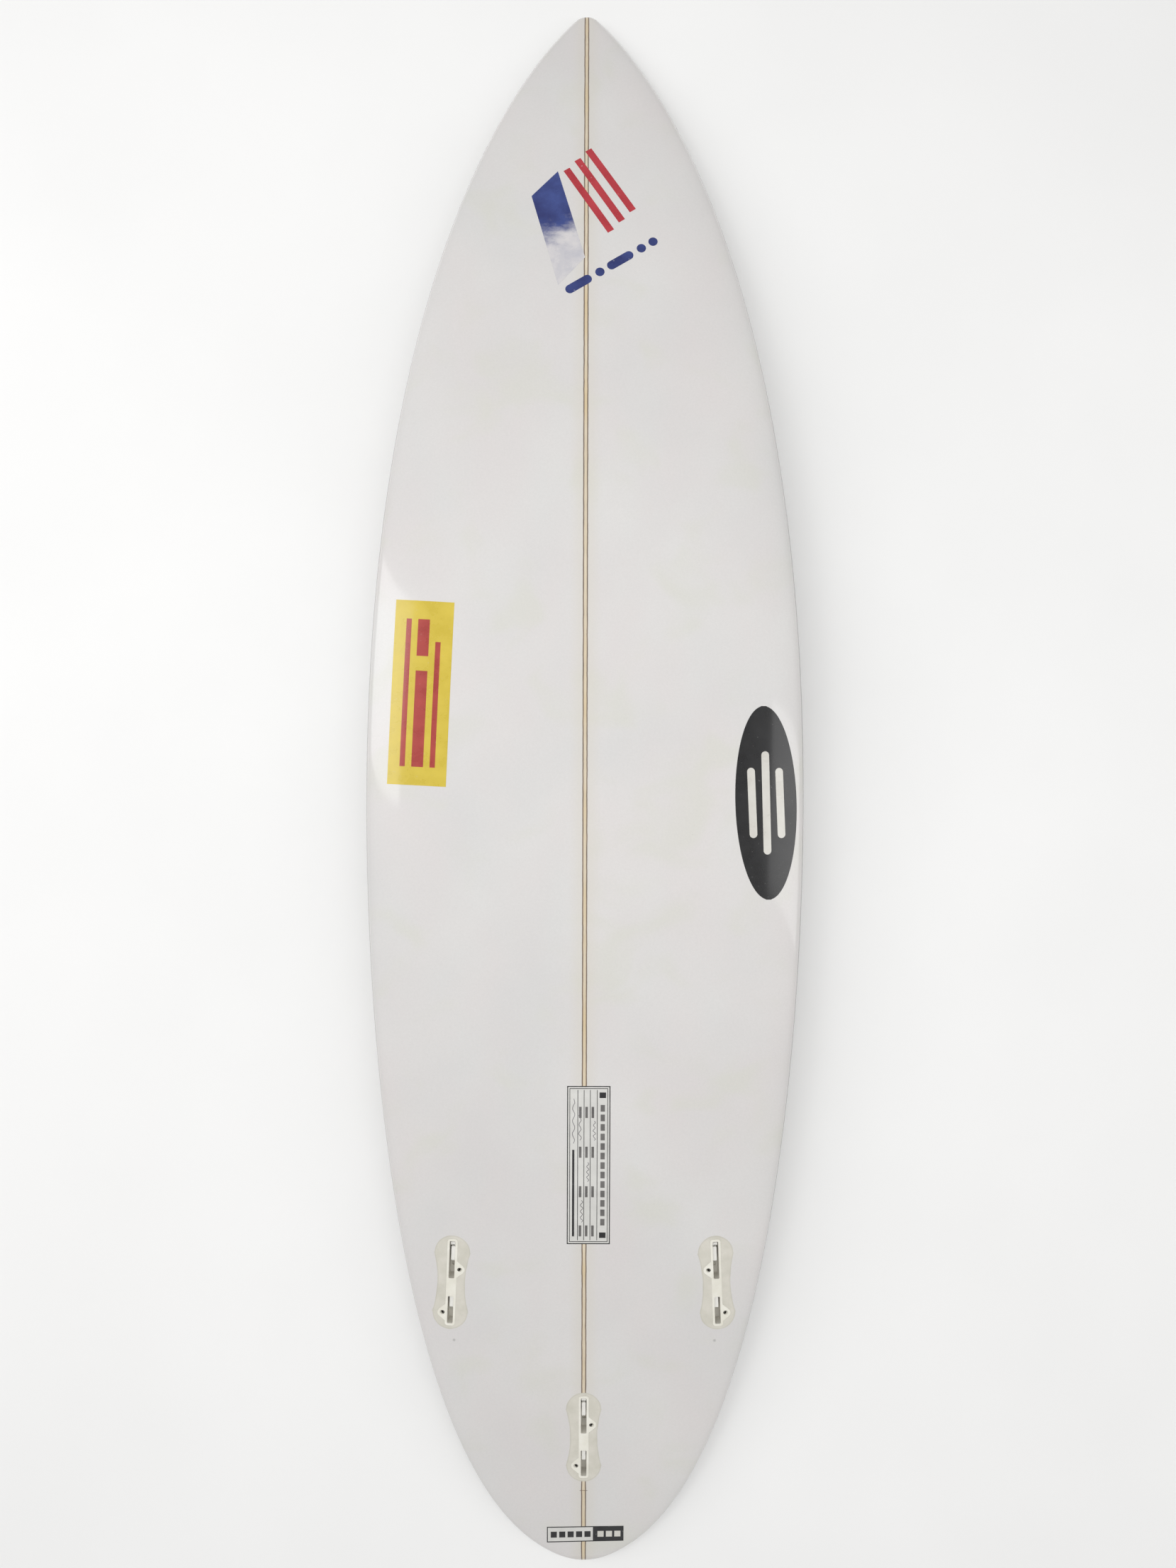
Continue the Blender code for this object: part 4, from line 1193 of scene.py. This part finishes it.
def add_sheet(made, guide, across_steps, along_steps, low, high):
    """Adds one closed film to a mesh, between two heights over the bottom."""
    layers = []
    for lift in (low, high):
        rows = []
        for along in range(along_steps + 1):
            places = [guide(a / across_steps, along / along_steps) for a in range(across_steps + 1)]
            rows.append([bottom_point(x, y) + lift * bottom_normal(x, y) for x, y in places])
        layers.append(grid_verts(made, rows))
        join_rows(made, layers[-1])
    borders = []
    for rows in layers:
        left = [row[0] for row in rows[-2:0:-1]]
        right = [row[-1] for row in rows[1:-1]]
        borders.append(rows[0] + right + rows[-1][::-1] + left)
    under, over = borders
    for k in range(len(under)):
        made.faces.new((under[k - 1], under[k], over[k], over[k - 1]))


def film(name, guides, look, node=None, level=0):
    """Prints of one colour as one piece; level 0 lies on the glass and 1 on top of level 0."""
    made = bmesh.new()
    low = 0.00002 if level == 0 else FILM * 0.5
    high = FILM * 0.5 if level == 0 else FILM * 0.5 + 0.00006 * level
    for guide, across_steps, along_steps in guides:
        add_sheet(made, guide, across_steps, along_steps, low, high)
    piece = finish_mesh(name, made, [LOOKS[look]], 40)
    if node:
        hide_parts(node)
    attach(piece, BOARD)
    return piece


def nose_prints():
    film("nose_panel_print", [(patch_guide(NOSE_PANEL), 20, 60)], "foil", "nose_panel", 0)
    for number in range(STRIPES):
        name = f"nose_stripe_{number + 1}"
        film(f"{name}_print", [(stripe_guide(number), 4, 40)], "red", name, 0)
    band = patch_guide(NOSE_BAND)
    marks = []
    for start, end in BAND_MARKS:
        marks.append((capsule_guide(band(start, 0.5), band(end, 0.5), BAND_MARK_WIDTH), 8, 48))
    film("nose_band_marks", marks, "blue", "nose_band", 0)


def side_sticker():
    guide = patch_guide(SIDE_STICKER)
    film("side_sticker_film", [(guide, 30, 60)], "yellow", "side_sticker", 0)
    bars = []
    for low, high, start, end in STICKER_BARS:
        bars.append((window(guide, low, start, high, end), 6, 50))
    bars.append((window(guide, 0.40, 0.70, 0.60, 0.90), 8, 14))
    film("side_sticker_bars", bars, "brick", None, 1)


def rail_decal():
    outline = oval_guide(RAIL_DECAL_TAIL, RAIL_DECAL_NOSE, RAIL_DECAL_WIDTH, RAIL_DECAL_END)
    film("rail_decal_film", [(outline, 30, 90)], "black", "rail_decal", 0)
    middle = between(RAIL_DECAL_TAIL, RAIL_DECAL_NOSE, 0.5)
    bars = []
    for shift, reach in DECAL_BARS:
        start = (middle[0] + shift + DECAL_BAR_LEAN, middle[1] - reach)
        end = (middle[0] + shift - DECAL_BAR_LEAN, middle[1] + reach)
        bars.append((capsule_guide(start, end, DECAL_BAR_WIDTH), 8, 60))
    film("rail_decal_bars", bars, "cream", None, 1)


def label_frame(guide, inset_across, inset_along, width_across, width_along, steps):
    """Four thin bars that make a rectangular border inside a label."""
    a, b = inset_across, inset_along
    wa, wb = width_across, width_along
    return [
        (window(guide, a, b, a + wa, 1 - b), 1, steps),
        (window(guide, 1 - a - wa, b, 1 - a, 1 - b), 1, steps),
        (window(guide, a + wa, b, 1 - a - wa, b + wb), 6, 1),
        (window(guide, a + wa, 1 - b - wb, 1 - a - wa, 1 - b), 6, 1),
    ]


def spec_label():
    """A ruled size label with generic captions and strokes in place of words."""
    guide = patch_guide(SPEC_LABEL)
    film("spec_label_film", [(guide, 12, 60)], "paper", "spec_label", 0)
    ink = label_frame(guide, 0.0, 0.0, 0.022, 0.006, 40)
    ink += label_frame(guide, 0.055, 0.014, 0.014, 0.004, 40)
    ink.append((window(guide, 0.12, 0.05, 0.17, 0.60), 2, 30))
    for rule in LABEL_RULES:
        ink.append((window(guide, rule, 0.025, rule + 0.014, 0.975), 1, 40))
    ink.append((window(guide, 0.75, 0.04, 0.90, 0.075), 3, 2))
    ink.append((window(guide, 0.75, 0.925, 0.90, 0.96), 3, 2))
    film("spec_label_rules", ink, "ink", None, 1)
    captions = []
    for low, high in CAPTION_COLUMNS:
        for start in CAPTION_ROWS:
            captions.append((window(guide, low, start, high, start + 0.07), 2, 4))
    for start in np.linspace(0.12, 0.84, 13):
        captions.append((window(guide, 0.775, float(start), 0.875, float(start) + 0.042), 3, 3))
    film("spec_label_captions", captions, "grey", None, 1)
    strokes = []
    rng = np.random.default_rng(4)
    wave = 0.028 * np.sin(np.linspace(0, 7 * math.pi, STROKE_POINTS))
    for column, start, end in STROKES:
        go = np.linspace(start, end, STROKE_POINTS)
        swing = wave + rng.normal(0, 0.004, STROKE_POINTS)
        points = [guide(column + 0.03 + float(w), float(v)) for w, v in zip(swing, go)]
        strokes.append((ribbon_guide(points, STROKE_WIDTH), 1, 84))
    film("spec_label_strokes", strokes, "pencil", None, 1)


def tail_label():
    """A bordered label: dark squares on pale film, then pale squares on a dark end."""
    guide = patch_guide(TAIL_LABEL)
    film("tail_label_film", [(guide, 24, 6)], "paper", "tail_label", 0)
    dark = [(window(guide, 0.60, 0.0, 1.0, 1.0), 12, 6)]
    dark += [
        (window(guide, 0.0, 0.0, 0.60, 0.06), 20, 1),
        (window(guide, 0.0, 0.94, 0.60, 1.0), 20, 1),
        (window(guide, 0.0, 0.06, 0.012, 0.94), 1, 4),
    ]
    for low, high in ((0.05, 0.13), (0.16, 0.24), (0.27, 0.35), (0.38, 0.46), (0.49, 0.57)):
        dark.append((window(guide, low, 0.30, high, 0.68), 3, 4))
    film("tail_label_ink", dark, "ink", None, 1)
    pale = []
    for low, high in ((0.66, 0.74), (0.77, 0.85), (0.88, 0.96)):
        pale.append((window(guide, low, 0.30, high, 0.68), 3, 4))
    film("tail_label_bars", pale, "cream", None, 2)


# ---------------------------------------------------------------- assembly


def repaint(node, look):
    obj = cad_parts[node]
    if not obj.material_slots:
        obj.data.materials.append(LOOKS[look])
    for holder in obj.material_slots:
        holder.material = LOOKS[look]


def build_board():
    for node, look in (
        ("blank_left", "foam"),
        ("blank_right", "foam"),
        ("stringer", "wood"),
        ("glue_line_left", "glue"),
        ("glue_line_right", "glue"),
        ("fin_core_rear", "core"),
        ("fin_core_left", "core"),
        ("fin_core_right", "core"),
    ):
        repaint(node, look)
    side_x = SIDE_PLUG_FROM_CENTRE
    boxes = {
        "rear": (fin_box_matrix(0.0, REAR_BOX_Y, 0.0), 1, 0.0),
        "left": (fin_box_matrix(-side_x, SIDE_BOX_Y, SIDE_TOE_DEGREES), 1, LEDGE_LEAN),
        "right": (fin_box_matrix(side_x, SIDE_BOX_Y, SIDE_TOE_DEGREES), -1, -LEDGE_LEAN),
    }
    bottom, outer, normals = skin("bottom_skin", -1, 1, SEAM / 2, LOOKS["bottom"])
    wells = []
    for which, (matrix, side, _) in boxes.items():
        well = plug_body(f"{which}_well", side, HOLE_GAP, -0.006, -0.006, 0.006, [])
        place_mesh(well, matrix)
        wells.append(well)
    cut(bottom, wells)
    true_normals(bottom, outer, normals)
    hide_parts("bottom_glass")
    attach(bottom, BOARD)

    cup = leash_cup_matrix()
    deck, outer, normals = skin("deck_skin", 1, 3, -SEAM / 2, LOOKS["deck"])
    hole = finish_mesh("cup_hole", prism(circle(CUP_RADIUS + HOLE_GAP, 96), -0.006, 0.006), [])
    place_mesh(hole, cup)
    cut(deck, [hole])
    true_normals(deck, outer, normals)
    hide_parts("deck_glass")
    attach(deck, BOARD)

    for which, (matrix, side, lean) in boxes.items():
        fin_plug(which, side, matrix)
        slot_ledges(which, matrix, lean)
        for end, where in zip(("front", "rear"), lug_places(side)):
            grub_screw(which, end, where, matrix)
        roller(which, matrix)
    leash_cup(cup)
    nose_prints()
    side_sticker()
    rail_decal()
    spec_label()
    tail_label()


def area_light(name, place, target, size_x, size_y, power, mirrored=True):
    data = bpy.data.lights.new(name, "AREA")
    data.shape = "RECTANGLE"
    data.size = size_x
    data.size_y = size_y
    data.energy = power
    made = bpy.data.objects.new(name, data)
    made.location = place
    made.visible_glossy = mirrored
    made.rotation_euler = (Vector(target) - Vector(place)).to_track_quat("-Z", "Y").to_euler()
    bpy.context.scene.collection.objects.link(made)


def build_studio():
    made = bmesh.new()
    bmesh.ops.create_grid(made, x_segments=8, y_segments=8, size=4.0)
    floor = finish_mesh("studio_floor", made, [LOOKS["floor"]])
    floor.location.z = CAD_BOX[0][2] - 0.0005
    world = bpy.data.worlds.new("soft studio")
    world.use_nodes = True
    back = world.node_tree.nodes["Background"]
    back.inputs["Color"].default_value = (1.0, 0.995, 0.985, 1.0)
    back.inputs["Strength"].default_value = 0.36
    bpy.context.scene.world = world
    bpy.context.scene.view_settings.view_transform = "Standard"
    area_light("top", (-0.2, 0.2, 3.2), (0, 0, 0), 3.0, 3.6, 60.0, mirrored=False)
    area_light("left softbox", (-2.1, 0.5, 2.2), (0, 0.1, 0), 1.2, 2.6, 24.0)
    area_light("right softbox", (2.1, -0.3, 2.2), (0, 0.0, 0), 1.0, 2.4, 12.0)


def build_camera():
    data = bpy.data.cameras.new("camera")
    data.sensor_fit = "VERTICAL"
    data.sensor_height = 36.0
    data.lens = FOCAL_LENGTH / PHOTO_HEIGHT * data.sensor_height
    data.clip_start = 0.05
    data.clip_end = 50.0
    made = bpy.data.objects.new("camera", data)
    middle = section_point(0.0, 0).z
    turn = Matrix.Rotation(CAMERA_TILT, 4, "X") @ Matrix.Rotation(CAMERA_ROLL, 4, "Z")
    made.matrix_world = Matrix.Translation((CAMERA_X, CAMERA_Y, middle + CAMERA_ABOVE)) @ turn
    bpy.context.scene.collection.objects.link(made)
    bpy.context.scene.camera = made


build_board()
build_studio()
build_camera()
